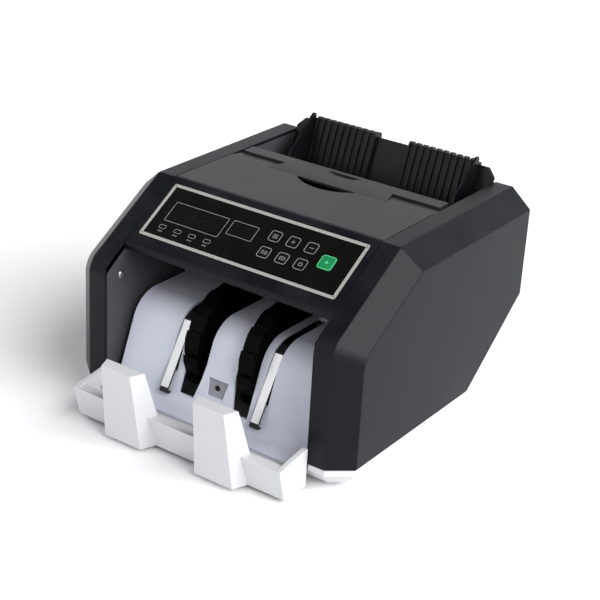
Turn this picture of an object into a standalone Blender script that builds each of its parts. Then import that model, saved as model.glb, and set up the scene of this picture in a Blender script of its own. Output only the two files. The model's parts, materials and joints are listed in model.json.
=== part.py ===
"""Table-top banknote counting machine, as an assembly of its separate pieces.

Units are metres. +Z is up, the front with the stacker pocket faces -Y, and +X is on the right
of a person who stands in front of the machine. z = 0 is the surface it stands on and x = 0 is
the machine's middle plane. Sizes below count y from the front face of the side shells; the last
step then centres the whole machine on y = 0.
"""
import math

import bmesh
import bpy
from mathutils import Matrix, Vector

# Overall sizes of the cabinet
WIDTH = 0.250  # over the two side shells
BAY_WIDTH = 0.1854  # clear width between the side shells
DEPTH = 0.2396  # of the side shells
TOP_Z = 0.1625  # top face of the side shells
SHELL_BOTTOM_Z = 0.020
KNEE_Z = 0.1133  # where the upright front turns into the slope
SLOPE_TOP_Y = 0.0781  # where the slope meets the top
REAR_CUT_Y = 0.1672  # where the slanted lower rear cut starts
REAR_CUT_Z = 0.0778  # where it ends on the rear face
CHAMFER_IN = 0.0145  # side chamfer, measured in from front and top
CHAMFER_OUT = 0.017  # side chamfer, measured across the width
WALL = 0.0025  # moulded wall of the covers
GAP = 0.0003  # between neighbouring pieces
RUNNING = 0.0001  # radial clearance of a shaft in its hole
ROUND = 24  # sides of a turned piece

# Base tub and feet
BASE_BOTTOM_Z = 0.003
BASE_SKIRT_Z = 0.015  # the drafted skirt reaches its full size here
BASE_DRAFT = 0.012
BASE_INSET = 0.0007  # of its outer faces, from the shells' outer faces
BASE_WALL_Z = 0.028  # top of the upright wall, inside the shells
BASE_REAR_Z = 0.0853
FOOT_RADIUS = 0.009
FOOT_INSET_X = 0.040
FOOT_INSET_Y = 0.045

# Front tray with its two stop fingers
TRAY_HALF = BAY_WIDTH / 2 + 0.0013
TRAY_FRONT_Y = -0.026
TRAY_LIP_Y = -0.033  # the low wall leans out to here
TRAY_LIP_Z = 0.028
TRAY_LIP_DEPTH = 0.009
TRAY_FLOOR_Z = 0.018
TRAY_END_WALL = 0.004
TRAY_END_Z = 0.0325  # the end walls rise to here at the pillars
TRAY_SKIN = 0.0022
TRAY_TONGUE_Y = 0.013  # the floor runs back under the stacker face to here
FINGER_X = 0.0415
FINGER_TOP_Z = 0.0637
# front y, back y, half width in front, half width behind, at the bottom, the lip and the top
FINGER_SECTIONS = (
    (BASE_BOTTOM_Z, -0.038, -0.0262, 0.0168, 0.0212),
    (TRAY_LIP_Z, -0.0412, -0.0250, 0.0154, 0.0215),
    (FINGER_TOP_Z, -0.046, -0.035, 0.0133, 0.0175),
)

# Side frames
FRAME_X = BAY_WIDTH / 2 + GAP  # inner face of each frame plate
FRAME_THICK = 0.002

# Control panel
LIP_Y = 0.0215  # lower edge of the sloping panel
LIP_DROP = 0.0055
HOUSING_REAR_Y = 0.096
OVERLAY_MARGIN = 0.0054
OVERLAY_HALF = BAY_WIDTH / 2 - OVERLAY_MARGIN
OVERLAY_TOP = 0.0058  # distances down the slope from its top edge
OVERLAY_BOTTOM = 0.0563
OVERLAY_SINK = 0.001
OVERLAY_ROUND = 0.0016
OVERLAY_PROUD = 0.0002
KEY_SIZE = 0.0101
START_KEY_SIZE = 0.0121
KEY_ROUND = 0.0023
KEY_DEPTH = 0.0038
KEY_PROUD = 0.0006
KEY_COLUMNS = (0.0164, 0.0321, 0.0478)
KEY_ROWS = (0.0231, 0.0384)
START_KEY = (0.0652, 0.0304)
MAIN_DISPLAY = (-0.0755, -0.0260, 0.0205, 0.0389)  # left, right, top and bottom on the slope
BATCH_DISPLAY = (-0.0220, 0.0008, 0.0202, 0.0336)
DISPLAY_DEPTH = 0.0052
BOARD_THICK = 0.0016

# Top cover, cross bar and deck
COVER_THICK = 0.0025
COVER_AXIS_Y = 0.0815
COVER_STEP_Y = 0.1453  # the cover's corners slope down behind this line
COVER_REAR_Y = 0.1597
COVER_CORNER_DROP = 0.0017
TAB_FRONT_Y = 0.1449
TAB_HALF = 0.0535  # half width of the bar's tab at its front
TAB_ROOT_HALF = 0.049
TAB_GAP = 0.0011  # between the bar's tab and the cover in front of it
NOTCH_HALF = 0.027
NOTCH_DEPTH = 0.0115
BAR_FRONT_Y = 0.1603
BAR_REAR_Y = 0.173
BAR_HALF = BAY_WIDTH / 2 - 0.0027
BAR_TOP_Z = TOP_Z + 0.0005
BAR_WALL_BOTTOM_Z = 0.124
DECK_Z = TOP_Z - 0.0125  # top of the deck under the cover
DECK_FRONT_Y = 0.084
DECK_REAR_Y = 0.168
KNOB_Y = 0.112
KNOB_RADIUS = 0.009
KNOB_HEIGHT = 0.007

# Hopper: the back plate leans, and everything on it is placed along (up) and off (front) it
PLATE_TOP = (DEPTH - 0.0011, TOP_Z + 0.0101)
PLATE_LEAN = math.radians(20)
HOPPER_CORNER_Z = 0.108
HOPPER_FLOOR_END = (0.184, 0.0985)
PLATE_CORNER_CUT = 0.010
GUIDE_TRAVEL = 0.014
GUIDE_OUTER = BAY_WIDTH / 2 - GUIDE_TRAVEL - 0.0012
GUIDE_INNER = 0.0155
GUIDE_LENGTH = 0.058
GUIDE_SKIN = 0.0018
RIB_COUNT = 10
RIB_WIDTH = 0.0013
RIB_PROUD = 0.0018
FIN_THICK = 0.002
HOOK_DROP = 0.007

# Stacker face, a sheet bent along its section, and what sits in it
FACE_HALF = BAY_WIDTH / 2 - 0.0042
FACE_SKIN = 0.0022
FACE_FOOT_Z = TRAY_FLOOR_Z + GAP + FACE_SKIN
FACE_CORNER = (0.00987, 0.0342)  # where the steep line meets the foot's and the top's level
FACE_TOP_Z = 0.0826
FACE_TOP_RADIUS = 0.0266
FACE_FOOT_RADIUS = 0.010
FACE_FRONT_Y = -0.008
SLOT_CLEARANCE = 0.002  # behind the stacker wheels
FACE_BEHIND_SLOT = 0.0035
SLOT_INNER = 0.0135
SLOT_INNER_LOW = 0.018
SLOT_OUTER = 0.0314
SLOT_BOTTOM_Z = 0.0265
STRIP_INNER = 0.0375
STRIP_OUTER = 0.0455
STRIP_BOTTOM = (0.0055, 0.0255)
STRIP_TOP = (0.035, 0.0757)
STRIP_THICK = 0.0012
WINDOW_HALF = 0.009
WINDOW_Z = (0.0325, 0.0448)

# Shafts, all along X, as (y, z) of the axis
STACKER_AXIS = (0.058, 0.057)
FEED_AXIS = (0.150, 0.084)
PICKUP_AXIS = (0.196, 0.084)
RETARD_AXIS_Y = 0.158
MOTOR_AXIS = (0.175, 0.034)
STACKER_SHAFT_RADIUS = 0.003
FEED_SHAFT_RADIUS = 0.004
PICKUP_SHAFT_RADIUS = 0.003
MOTOR_SHAFT_RADIUS = 0.0025
WHEEL_RADIUS = 0.042
WHEEL_HUB_RADIUS = 0.0105
WHEEL_WIDTH = SLOT_OUTER - SLOT_INNER_LOW - 0.0008
BLADE_COUNT = 14
BLADE_THICK = 0.0013
BLADE_SWEEP = math.radians(150)
BLADE_CURL = 2.2  # above 1 a blade leaves the hub straight and bends more towards its tip
FEED_ROLLER_RADIUS = 0.020
PICKUP_ROLLER_RADIUS = 0.019
RETARD_RADIUS = 0.012
RETARD_GAP = 0.0006
ROLLER_INNER = 0.022
ROLLER_OUTER = 0.038
MOTOR_RADIUS = 0.020
MOTOR_LENGTH = 0.050
MOTOR_PULLEY_RADIUS = 0.008
FEED_PULLEY_RADIUS = 0.010
PICKUP_PULLEY_RADIUS = 0.010
STACKER_PULLEY_RADIUS = 0.016
PULLEY_FLANGE = 0.002
PULLEY_WIDTH = 0.006
BELT_WIDTH = 0.0045
BELT_THICK = 0.0014
FEED_BELT_X = -0.101
STACKER_BELT_X = -0.111
BEARING_RADIUS = 0.0055
BEARING_FLANGE = 0.0072
BEARING_WIDTH = 0.004

# Electrics
MAIN_BOARD_X = 0.1005
MAIN_BOARD = ((0.069, 0.045), (0.150, 0.120))
SUPPLY = ((0.168, 0.030), (0.222, 0.078))
SUPPLY_WIDTH = 0.022
INLET_X = -0.060
INLET_Z = 0.040
INLET_SIZE = (0.028, 0.020)
INLET_DEPTH = 0.020
SWITCH_X = -0.028
SWITCH_SIZE = (0.020, 0.014)
ROCKER_TILT = math.radians(8)

MATERIALS = {}


def material(name, colour, roughness, metallic=0.0):
    """A Principled BSDF with this finish, made once and then shared."""
    if name not in MATERIALS:
        made = bpy.data.materials.new(name)
        made.use_nodes = True
        shader = made.node_tree.nodes["Principled BSDF"]
        shader.inputs["Base Color"].default_value = (*colour, 1.0)
        shader.inputs["Roughness"].default_value = roughness
        shader.inputs["Metallic"].default_value = metallic
        MATERIALS[name] = made
    return MATERIALS[name]


def white_plastic():
    return material("white_plastic", (0.83, 0.84, 0.85), 0.42)


def dark_plastic():
    return material("dark_plastic", (0.018, 0.019, 0.023), 0.45)


def cover_plastic():
    return material("cover_plastic", (0.085, 0.085, 0.095), 0.5)


def black_plastic():
    return material("black_plastic", (0.006, 0.006, 0.007), 0.4)


def grey_plastic():
    return material("grey_plastic", (0.50, 0.52, 0.58), 0.45)


def steel():
    return material("steel", (0.62, 0.62, 0.62), 0.28, 1.0)


def rubber():
    return material("rubber", (0.012, 0.012, 0.013), 0.75)


def board_green():
    return material("board_green", (0.01, 0.09, 0.03), 0.5)


def clear_scene():
    for old in list(bpy.data.objects):
        bpy.data.objects.remove(old, do_unlink=True)


# Outlines, as lists of 2-D points


def rounded(points, radii, steps=5, closed=False):
    """The path through the points, with an arc of its own radius at each corner."""
    path = []
    count = len(points)
    for i, (point, radius) in enumerate(zip(points, radii)):
        here = Vector(point)
        if radius <= 0 or (not closed and i in (0, count - 1)):
            path.append((here.x, here.y))
            continue
        back = (Vector(points[i - 1]) - here).normalized()
        onward = (Vector(points[(i + 1) % count]) - here).normalized()
        half = back.angle(onward) / 2
        reach = radius / math.tan(half)
        centre = here + (back + onward).normalized() * radius / math.sin(half)
        start = here + back * reach - centre
        turn = start.angle_signed(here + onward * reach - centre)
        for k in range(steps + 1):
            spoke = Matrix.Rotation(-turn * k / steps, 2) @ start
            path.append((centre.x + spoke.x, centre.y + spoke.y))
    return path


def shifted_lines(points, distances, closed=True):
    """The outline whose edge i lies to the right of the given edge i, at its own distance."""
    count = len(points)
    lines = []
    for i in range(count if closed else count - 1):
        start, end = Vector(points[i]), Vector(points[(i + 1) % count])
        along = (end - start).normalized()
        lines.append((start + Vector((along.y, -along.x)) * distances[i], along))
    moved = []
    for i in range(count):
        if not closed and i in (0, count - 1):
            start, along = lines[0] if i == 0 else lines[-1]
            moved.append(tuple(start + along * (Vector(points[i]) - start).dot(along)))
            continue
        (a, u), (b, v) = lines[i - 1], lines[i]
        cross = u.x * v.y - u.y * v.x
        if abs(cross) < 1e-9:
            moved.append(tuple(b))
            continue
        step = ((b - a).x * v.y - (b - a).y * v.x) / cross
        moved.append(tuple(a + u * step))
    return moved


def thickened(path, thickness):
    """A closed outline for a sheet whose given face follows the path; positive is to its right."""
    behind = shifted_lines(path, [thickness] * len(path), closed=False)
    return list(path) + behind[::-1]


def rectangle(low, high):
    return [(low[0], low[1]), (high[0], low[1]), (high[0], high[1]), (low[0], high[1])]


def circle(centre, radius, steps=ROUND):
    turns = [2 * math.pi * k / steps for k in range(steps)]
    return [(centre[0] + radius * math.cos(a), centre[1] + radius * math.sin(a)) for a in turns]


def wrapped(points):
    """The convex outline round the points, counter-clockwise."""
    halves = []
    for ordered in (sorted(points), sorted(points, reverse=True)):
        half = []
        for point in ordered:
            while len(half) > 1:
                (ax, ay), (bx, by) = half[-2], half[-1]
                if (bx - ax) * (point[1] - ay) - (by - ay) * (point[0] - ax) > 1e-12:
                    break
                half.pop()
            half.append(point)
        halves += half[:-1]
    return halves


# Solids


def placed(name, made, finish, smooth=False, rotation=None):
    bmesh.ops.recalc_face_normals(made, faces=made.faces)
    mesh = bpy.data.meshes.new(name)
    made.to_mesh(mesh)
    made.free()
    obj = bpy.data.objects.new(name, mesh)
    bpy.context.scene.collection.objects.link(obj)
    if finish:
        mesh.materials.append(finish)
    if smooth:
        mesh.shade_smooth()
        mesh.set_sharp_from_angle(angle=math.radians(35))
    if rotation:
        obj.rotation_euler = rotation
    return obj


def loft(name, sections, finish=None, smooth=False):
    """A solid through closed sections of equally many 3-D points, capped at both ends."""
    made = bmesh.new()
    rings = [[made.verts.new(point) for point in section] for section in sections]
    for lower, upper in zip(rings, rings[1:]):
        for i in range(len(lower)):
            j = (i + 1) % len(lower)
            made.faces.new((lower[i], lower[j], upper[j], upper[i]))
    made.faces.new(rings[0][::-1])
    made.faces.new(rings[-1])
    return placed(name, made, finish, smooth)


def to_space(axis, at, a, b):
    return {"X": (at, a, b), "Y": (a, at, b), "Z": (a, b, at)}[axis]


def prism(name, axis, outline, start, end, finish=None, smooth=False):
    """The outline in the plane across the axis, extruded from start to end along it."""
    made = bmesh.new()
    face = made.faces.new([made.verts.new(to_space(axis, start, a, b)) for a, b in outline])
    grown = bmesh.ops.extrude_face_region(made, geom=[face])["geom"]
    moved = [item for item in grown if isinstance(item, bmesh.types.BMVert)]
    bmesh.ops.translate(made, verts=moved, vec=to_space(axis, end - start, 0, 0))
    return placed(name, made, finish, smooth)


def block(name, low, high, finish=None):
    return prism(name, "Z", rectangle(low, high), low[2], high[2], finish)


def turned(name, profile, axis_yz, finish=None, bored=False):
    """The (x, radius) profile spun about an axis along X; a bored one is a closed ring profile."""
    made = bmesh.new()
    y, z = axis_yz
    verts = [made.verts.new((x, y + radius, z)) for x, radius in profile]
    pairs = list(zip(verts, verts[1:])) + ([(verts[-1], verts[0])] if bored else [])
    edges = [made.edges.new(pair) for pair in pairs]
    bmesh.ops.spin(
        made, geom=verts + edges, cent=(0, y, z), axis=(1, 0, 0),
        angle=2 * math.pi, steps=ROUND, use_merge=True,
    )
    bmesh.ops.remove_doubles(made, verts=made.verts, dist=1e-6)
    return placed(name, made, finish, smooth=True)


def rod(name, x0, x1, radius, axis_yz, finish):
    return turned(name, [(x0, 0), (x0, radius), (x1, radius), (x1, 0)], axis_yz, finish)


def ring(name, x0, x1, inner, outer, axis_yz, finish):
    profile = [(x0, inner), (x0, outer), (x1, outer), (x1, inner)]
    return turned(name, profile, axis_yz, finish, bored=True)


def combined(obj, other, operation):
    step = obj.modifiers.new(other.name, "BOOLEAN")
    step.operation = operation
    step.object = other
    step.solver = "EXACT"
    other.hide_render = True
    other.display_type = "WIRE"
    return obj


def cut(obj, *cutters):
    for cutter in cutters:
        combined(obj, cutter, "DIFFERENCE")
    return obj


def join(obj, *others):
    for other in others:
        combined(obj, other, "UNION")
    return obj


# The cabinet's section in the YZ plane, clockwise seen from +X with +Y to the right


def cabinet_outline():
    return [
        (0.0, SHELL_BOTTOM_Z),
        (0.0, KNEE_Z),
        (SLOPE_TOP_Y, TOP_Z),
        (DEPTH, TOP_Z),
        (DEPTH, REAR_CUT_Z),
        (REAR_CUT_Y, SHELL_BOTTOM_Z),
    ]


def slope_angle():
    return math.atan2(TOP_Z - KNEE_Z, SLOPE_TOP_Y)


def slope_point(x, down, height=0.0):
    """World place of a point on the sloping panel: across, down from its top edge, and off it."""
    tilt = slope_angle()
    return Vector((
        x,
        SLOPE_TOP_Y - down * math.cos(tilt) - height * math.sin(tilt),
        TOP_Z - down * math.sin(tilt) + height * math.cos(tilt),
    ))


def slope_block(name, outline, low, high, centre, finish=None):
    """An outline (x, up the slope) about a centre (x, down), extruded from low to high off it."""
    obj = prism(name, "Z", outline, low, high, finish)
    obj.location = slope_point(*centre)
    obj.rotation_euler = (slope_angle(), 0, 0)
    return obj


def rounded_rectangle(width, height, radius, steps=4):
    corners = rectangle((-width / 2, -height / 2), (width / 2, height / 2))
    return rounded(corners, [radius] * 4, steps, closed=True)


def make_side_shell(name, side):
    edge = WIDTH / 2 - CHAMFER_OUT
    outer = cabinet_outline()
    face = shifted_lines(outer, (CHAMFER_IN,) * 3 + (0, 0, 0))
    bay = BAY_WIDTH / 2
    layers = ((bay, outer), (edge, outer), (WIDTH / 2, face))
    shell = loft(name, [[(side * x, y, z) for y, z in line] for x, line in layers], dark_plastic())
    fall = CHAMFER_IN / CHAMFER_OUT
    slant = math.hypot(1, fall)
    open_ends = (-0.02, -0.02)  # the cutter runs out past the bottom and the rear cut
    thin = shifted_lines(outer, (WALL,) * 4 + open_ends)
    side_inset = (CHAMFER_OUT - WALL) * fall + WALL * slant
    deep = shifted_lines(outer, (side_inset,) * 3 + (WALL,) + open_ends)
    bend = edge - WALL * (slant - 1) / fall
    layers = ((bay - 0.01, thin), (bend, thin), (WIDTH / 2 - WALL, deep))
    hollow = loft(name + "_hollow", [[(side * x, y, z) for y, z in line] for x, line in layers])
    return cut(shell, hollow)


def make_side_frame(name, side):
    """Steel plate inside the shell, standing on the base, with the shafts' holes."""
    wall = WALL + GAP
    inner = shifted_lines(cabinet_outline(), (wall,) * 4 + (0, 0))
    front, rear = inner[1][0], inner[3][0]
    floor = BASE_BOTTOM_Z + WALL + GAP
    clear = wall + WALL + GAP
    draft_z = BASE_SKIRT_Z + WALL
    outline = [
        (clear + BASE_DRAFT, floor), (clear, draft_z), (clear, BASE_WALL_Z + GAP),
        (front, BASE_WALL_Z + GAP), inner[1], inner[2], inner[3],
        (rear, BASE_REAR_Z + GAP), (DEPTH - clear, BASE_REAR_Z + GAP),
        (DEPTH - clear, draft_z), (DEPTH - clear - BASE_DRAFT, floor),
    ]
    x0 = side * FRAME_X
    x1 = side * (FRAME_X + FRAME_THICK)
    plate = prism(name, "X", outline, x0, x1, steel())
    holes = [
        (STACKER_AXIS, BEARING_RADIUS + GAP),
        (FEED_AXIS, FEED_SHAFT_RADIUS + RUNNING),
        (PICKUP_AXIS, PICKUP_SHAFT_RADIUS + RUNNING),
    ]
    if side < 0:
        holes.append((MOTOR_AXIS, MOTOR_SHAFT_RADIUS + RUNNING))
    for number, (axis, radius) in enumerate(holes):
        reach = (side * (FRAME_X - 0.005), side * (FRAME_X + FRAME_THICK + 0.005))
        bore = rod(f"{name}_hole_{number}", min(reach), max(reach), radius, axis, None)
        cut(plate, bore)
    return plate


def base_layer(inset, z):
    """Plan outline of the cabinet's footprint at a height, moved in by this much."""
    edge, half = WIDTH / 2 - CHAMFER_OUT, WIDTH / 2
    footprint = [
        (edge, 0), (-edge, 0), (-half, CHAMFER_IN), (-half, DEPTH), (half, DEPTH), (half, CHAMFER_IN),
    ]
    return [(x, y, z) for x, y in shifted_lines(footprint, [inset] * len(footprint))]


def base_cutter(name, lift, rise_from):
    """Everything above the shells' lower edge, which is raised by lift and shifted back or forward."""
    run = (DEPTH - REAR_CUT_Y) / (REAR_CUT_Z - SHELL_BOTTOM_Z)
    low, high = SHELL_BOTTOM_Z + lift, BASE_REAR_Z
    rear = rise_from + (high - low) * run
    outline = [(-0.05, low), (rise_from, low), (rear, high), (rear, high + 0.05), (-0.05, high + 0.05)]
    return prism(name, "X", outline, -WIDTH, WIDTH)


def make_base():
    """White tub: flush with the shells below their lower edge, with a lip that goes up inside them."""
    lip = WALL + GAP
    outer = loft("base_flush", [
        base_layer(BASE_INSET + BASE_DRAFT, BASE_BOTTOM_Z), base_layer(BASE_INSET, BASE_SKIRT_Z),
        base_layer(BASE_INSET, BASE_REAR_Z + 0.01),
    ])
    cut(outer, base_cutter("base_over_flush", -GAP, REAR_CUT_Y + GAP))
    rear_top = block("base_over_rear", (-WIDTH, 0, REAR_CUT_Z - GAP), (WIDTH, DEPTH + 0.02, 0.15))
    cut(outer, rear_top)
    body = loft("base_tub", [
        base_layer(lip + BASE_DRAFT, BASE_BOTTOM_Z + 0.001), base_layer(lip, BASE_SKIRT_Z),
        base_layer(lip, BASE_REAR_Z),
    ], white_plastic())
    cut(body, base_cutter("base_over_lip", BASE_WALL_Z - SHELL_BOTTOM_Z, REAR_CUT_Y - 0.009))
    join(body, outer)
    hollow = loft("base_hollow", [
        base_layer(lip + WALL + BASE_DRAFT, BASE_BOTTOM_Z + WALL),
        base_layer(lip + WALL, BASE_SKIRT_Z + WALL / 2), base_layer(lip + WALL, BASE_REAR_Z + 0.02),
    ])
    tray_gap = block(
        "base_tray_gap", (-TRAY_HALF, -0.01, TRAY_FLOOR_Z - TRAY_SKIN - GAP), (TRAY_HALF, TRAY_TONGUE_Y + GAP, 0.04)
    )
    cutters = [hollow, tray_gap]
    for name, x, size in (("inlet", INLET_X, INLET_SIZE), ("switch", SWITCH_X, SWITCH_SIZE)):
        half_x, half_z = size[0] / 2 + GAP, size[1] / 2 + GAP
        cutters.append(block(
            f"base_{name}_hole", (x - half_x, DEPTH - 0.02, INLET_Z - half_z),
            (x + half_x, DEPTH + 0.02, INLET_Z + half_z),
        ))
    return cut(body, *cutters)


def make_feet():
    for row, y in (("front", FOOT_INSET_Y), ("rear", DEPTH - FOOT_INSET_Y)):
        for name, side in (("left", -1), ("right", 1)):
            x = side * (WIDTH / 2 - FOOT_INSET_X)
            foot = loft(f"foot_{row}_{name}", [
                [(a, b, 0) for a, b in circle((x, y), FOOT_RADIUS - 0.001)],
                [(a, b, BASE_BOTTOM_Z - GAP) for a, b in circle((x, y), FOOT_RADIUS)],
            ], rubber(), smooth=True)
            foot.data.set_sharp_from_angle(angle=math.radians(35))


def make_tray():
    lean = (TRAY_LIP_Y - TRAY_FRONT_Y) / (TRAY_LIP_Z - BASE_BOTTOM_Z)
    lip_back = TRAY_LIP_Y + TRAY_LIP_DEPTH
    rear = -GAP
    section = [
        (TRAY_FRONT_Y, BASE_BOTTOM_Z), (rear, BASE_BOTTOM_Z), (rear, TRAY_FLOOR_Z),
        (lip_back + 0.003, TRAY_FLOOR_Z), (lip_back, TRAY_LIP_Z), (TRAY_LIP_Y, TRAY_LIP_Z),
    ]
    tray = prism("front_tray", "X", section, -TRAY_HALF, TRAY_HALF, white_plastic())
    tongue_half = BAY_WIDTH / 2 - GAP
    extras = [block(
        "tray_tongue", (-tongue_half, rear - 0.004, TRAY_FLOOR_Z - TRAY_SKIN), (tongue_half, TRAY_TONGUE_Y, TRAY_FLOOR_Z)
    )]
    for side in (-1, 1):
        ends = sorted((side * (TRAY_HALF - TRAY_END_WALL), side * TRAY_HALF))
        wall = [
            (TRAY_FRONT_Y, BASE_BOTTOM_Z), (rear, BASE_BOTTOM_Z), (rear, TRAY_END_Z),
            (rear - 0.004, TRAY_END_Z), (TRAY_LIP_Y, TRAY_LIP_Z),
        ]
        extras.append(prism(f"tray_end_{side}", "X", wall, *ends))
        x = side * FINGER_X
        extras.append(loft(f"tray_finger_{side}", [
            [(x - front_half, front, z), (x + front_half, front, z),
             (x + back_half, back, z), (x - back_half, back, z)]
            for z, front, back, front_half, back_half in FINGER_SECTIONS
        ]))
    join(tray, *extras)
    under = [
        (TRAY_FRONT_Y + TRAY_SKIN, BASE_BOTTOM_Z - 0.01), (rear - TRAY_SKIN, BASE_BOTTOM_Z - 0.01),
        (rear - TRAY_SKIN, TRAY_FLOOR_Z - TRAY_SKIN),
        (TRAY_FRONT_Y + TRAY_SKIN + lean * (TRAY_FLOOR_Z - BASE_BOTTOM_Z), TRAY_FLOOR_Z - TRAY_SKIN),
    ]
    reach = TRAY_HALF - TRAY_END_WALL
    cut(tray, prism("tray_under", "X", under, -reach, reach))
    return tray


def make_housing():
    """Sloping control panel with its lower lip and underside, in one bent section."""
    lip = slope_point(0, (SLOPE_TOP_Y - LIP_Y) / math.cos(slope_angle()))
    low = lip.z - LIP_DROP
    path = rounded(
        [(HOUSING_REAR_Y, low), (LIP_Y, low), (LIP_Y, lip.z), (SLOPE_TOP_Y, TOP_Z)],
        (0, 0.0015, 0.0028, 0), steps=4,
    )
    outline = thickened(path, WALL)
    half = BAY_WIDTH / 2 - GAP
    housing = prism("panel_housing", "X", outline, -half, half, dark_plastic())
    middle = (OVERLAY_TOP + OVERLAY_BOTTOM) / 2
    recess = slope_block(
        "housing_recess",
        rounded_rectangle(
            2 * (OVERLAY_HALF + GAP), OVERLAY_BOTTOM - OVERLAY_TOP + 2 * GAP, OVERLAY_ROUND + GAP,
        ),
        -OVERLAY_SINK, 0.005, (0, middle),
    )
    hinge_room = block("housing_hinge_room", (-WIDTH, SLOPE_TOP_Y + GAP, low + 0.02), (WIDTH, 0.12, TOP_Z + 0.01))
    return cut(housing, recess, hinge_room, *[panel_hole(f"housing_{name}", *hole) for name, hole in panel_holes()])


def key_places():
    names = iter(("function", "plus", "minus", "mode", "batch", "restart"))
    keys = [(f"key_{next(names)}", x, down, KEY_SIZE) for down in KEY_ROWS for x in KEY_COLUMNS]
    return keys + [("key_start", *START_KEY, START_KEY_SIZE)]


def display_places():
    for name, (left, right, top, bottom) in (("main", MAIN_DISPLAY), ("batch", BATCH_DISPLAY)):
        yield f"display_{name}", (left + right) / 2, (top + bottom) / 2, right - left, bottom - top


def panel_holes():
    """Name and (x, down, width, height, corner) of each opening in the panel and its overlay."""
    holes = [(name, (x, down, size, size, KEY_ROUND)) for name, x, down, size in key_places()]
    holes += [(name, (x, down, wide, high, 0.001)) for name, x, down, wide, high in display_places()]
    return holes


def panel_hole(name, x, down, width, height, corner):
    outline = rounded_rectangle(width + 2 * GAP, height + 2 * GAP, corner)
    return slope_block(name, outline, -0.008, 0.006, (x, down))


def make_overlay():
    height = OVERLAY_BOTTOM - OVERLAY_TOP
    overlay = slope_block(
        "keypad_overlay", rounded_rectangle(2 * OVERLAY_HALF, height, OVERLAY_ROUND),
        GAP - OVERLAY_SINK, OVERLAY_PROUD, (0, OVERLAY_TOP + height / 2),
        material("overlay_black", (0.004, 0.004, 0.004), 0.25),
    )
    return cut(overlay, *[panel_hole(f"overlay_{name}", *hole) for name, hole in panel_holes()])


def make_keys():
    for name, x, down, size in key_places():
        finish = overlay_key() if size == KEY_SIZE else material("start_green", (0.01, 0.38, 0.11), 0.4)
        outline = rounded_rectangle(size, size, KEY_ROUND)
        slope_block(name, outline, KEY_PROUD - KEY_DEPTH, KEY_PROUD, (x, down), finish)


def overlay_key():
    return material("key_black", (0.01, 0.01, 0.01), 0.35)


def make_displays():
    lens = material("display_lens", (0.012, 0.004, 0.004), 0.12)
    for name, x, down, wide, high in display_places():
        outline = rounded_rectangle(wide, high, 0.001)
        slope_block(name, outline, -DISPLAY_DEPTH, OVERLAY_PROUD - 0.0001, (x, down), lens)
    middle = (OVERLAY_TOP + OVERLAY_BOTTOM) / 2
    top = -DISPLAY_DEPTH - GAP
    slope_block(
        "display_board", rounded_rectangle(0.168, 0.040, 0.002), top - BOARD_THICK, top,
        (0, middle), board_green(),
    )


def make_cover():
    """Lid over the deck, turning on the round hinge edge along its front."""
    half = BAY_WIDTH / 2 - GAP
    radius = COVER_THICK
    low = TOP_Z - COVER_THICK
    span = math.asin(1.0) * 2
    sagitta_radius = (NOTCH_HALF**2 + NOTCH_DEPTH**2) / (2 * NOTCH_DEPTH)
    centre_y = TAB_FRONT_Y - NOTCH_DEPTH + sagitta_radius
    swing = math.asin(NOTCH_HALF / sagitta_radius)
    steps = 12
    arc = [
        (sagitta_radius * math.sin(swing - 2 * swing * k / steps),
         centre_y - sagitta_radius * math.cos(swing - 2 * swing * k / steps))
        for k in range(steps + 1)
    ]
    edge = TAB_FRONT_Y - TAB_GAP
    outline = [
        (-half, COVER_AXIS_Y), (half, COVER_AXIS_Y), (half, COVER_REAR_Y),
        (TAB_ROOT_HALF + 2 * GAP, COVER_REAR_Y), (TAB_HALF + 2 * GAP, edge),
        *[(x, y - TAB_GAP) for x, y in arc],
        (-TAB_HALF - 2 * GAP, edge), (-TAB_ROOT_HALF - 2 * GAP, COVER_REAR_Y), (-half, COVER_REAR_Y),
    ]
    cover = prism("top_cover", "Z", outline, low, TOP_Z, cover_plastic())
    barrel = [
        (COVER_AXIS_Y + radius * math.cos(span / 2 + span * k / 12),
         TOP_Z - radius + radius * math.sin(span / 2 + span * k / 12))
        for k in range(13)
    ]
    barrel += [(COVER_AXIS_Y + 0.004, TOP_Z - 2 * radius + 0.002), (COVER_AXIS_Y + 0.004, TOP_Z - 0.0002)]
    join(cover, prism("cover_hinge_edge", "X", barrel, -half, half))
    slope = [
        (COVER_STEP_Y, TOP_Z), (COVER_REAR_Y + 0.001, TOP_Z - COVER_CORNER_DROP),
        (COVER_REAR_Y + 0.001, TOP_Z + 0.003), (COVER_STEP_Y, TOP_Z + 0.003),
    ]
    cut(cover, prism("cover_corner_slope", "X", slope, -WIDTH, WIDTH))
    return cover


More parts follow.
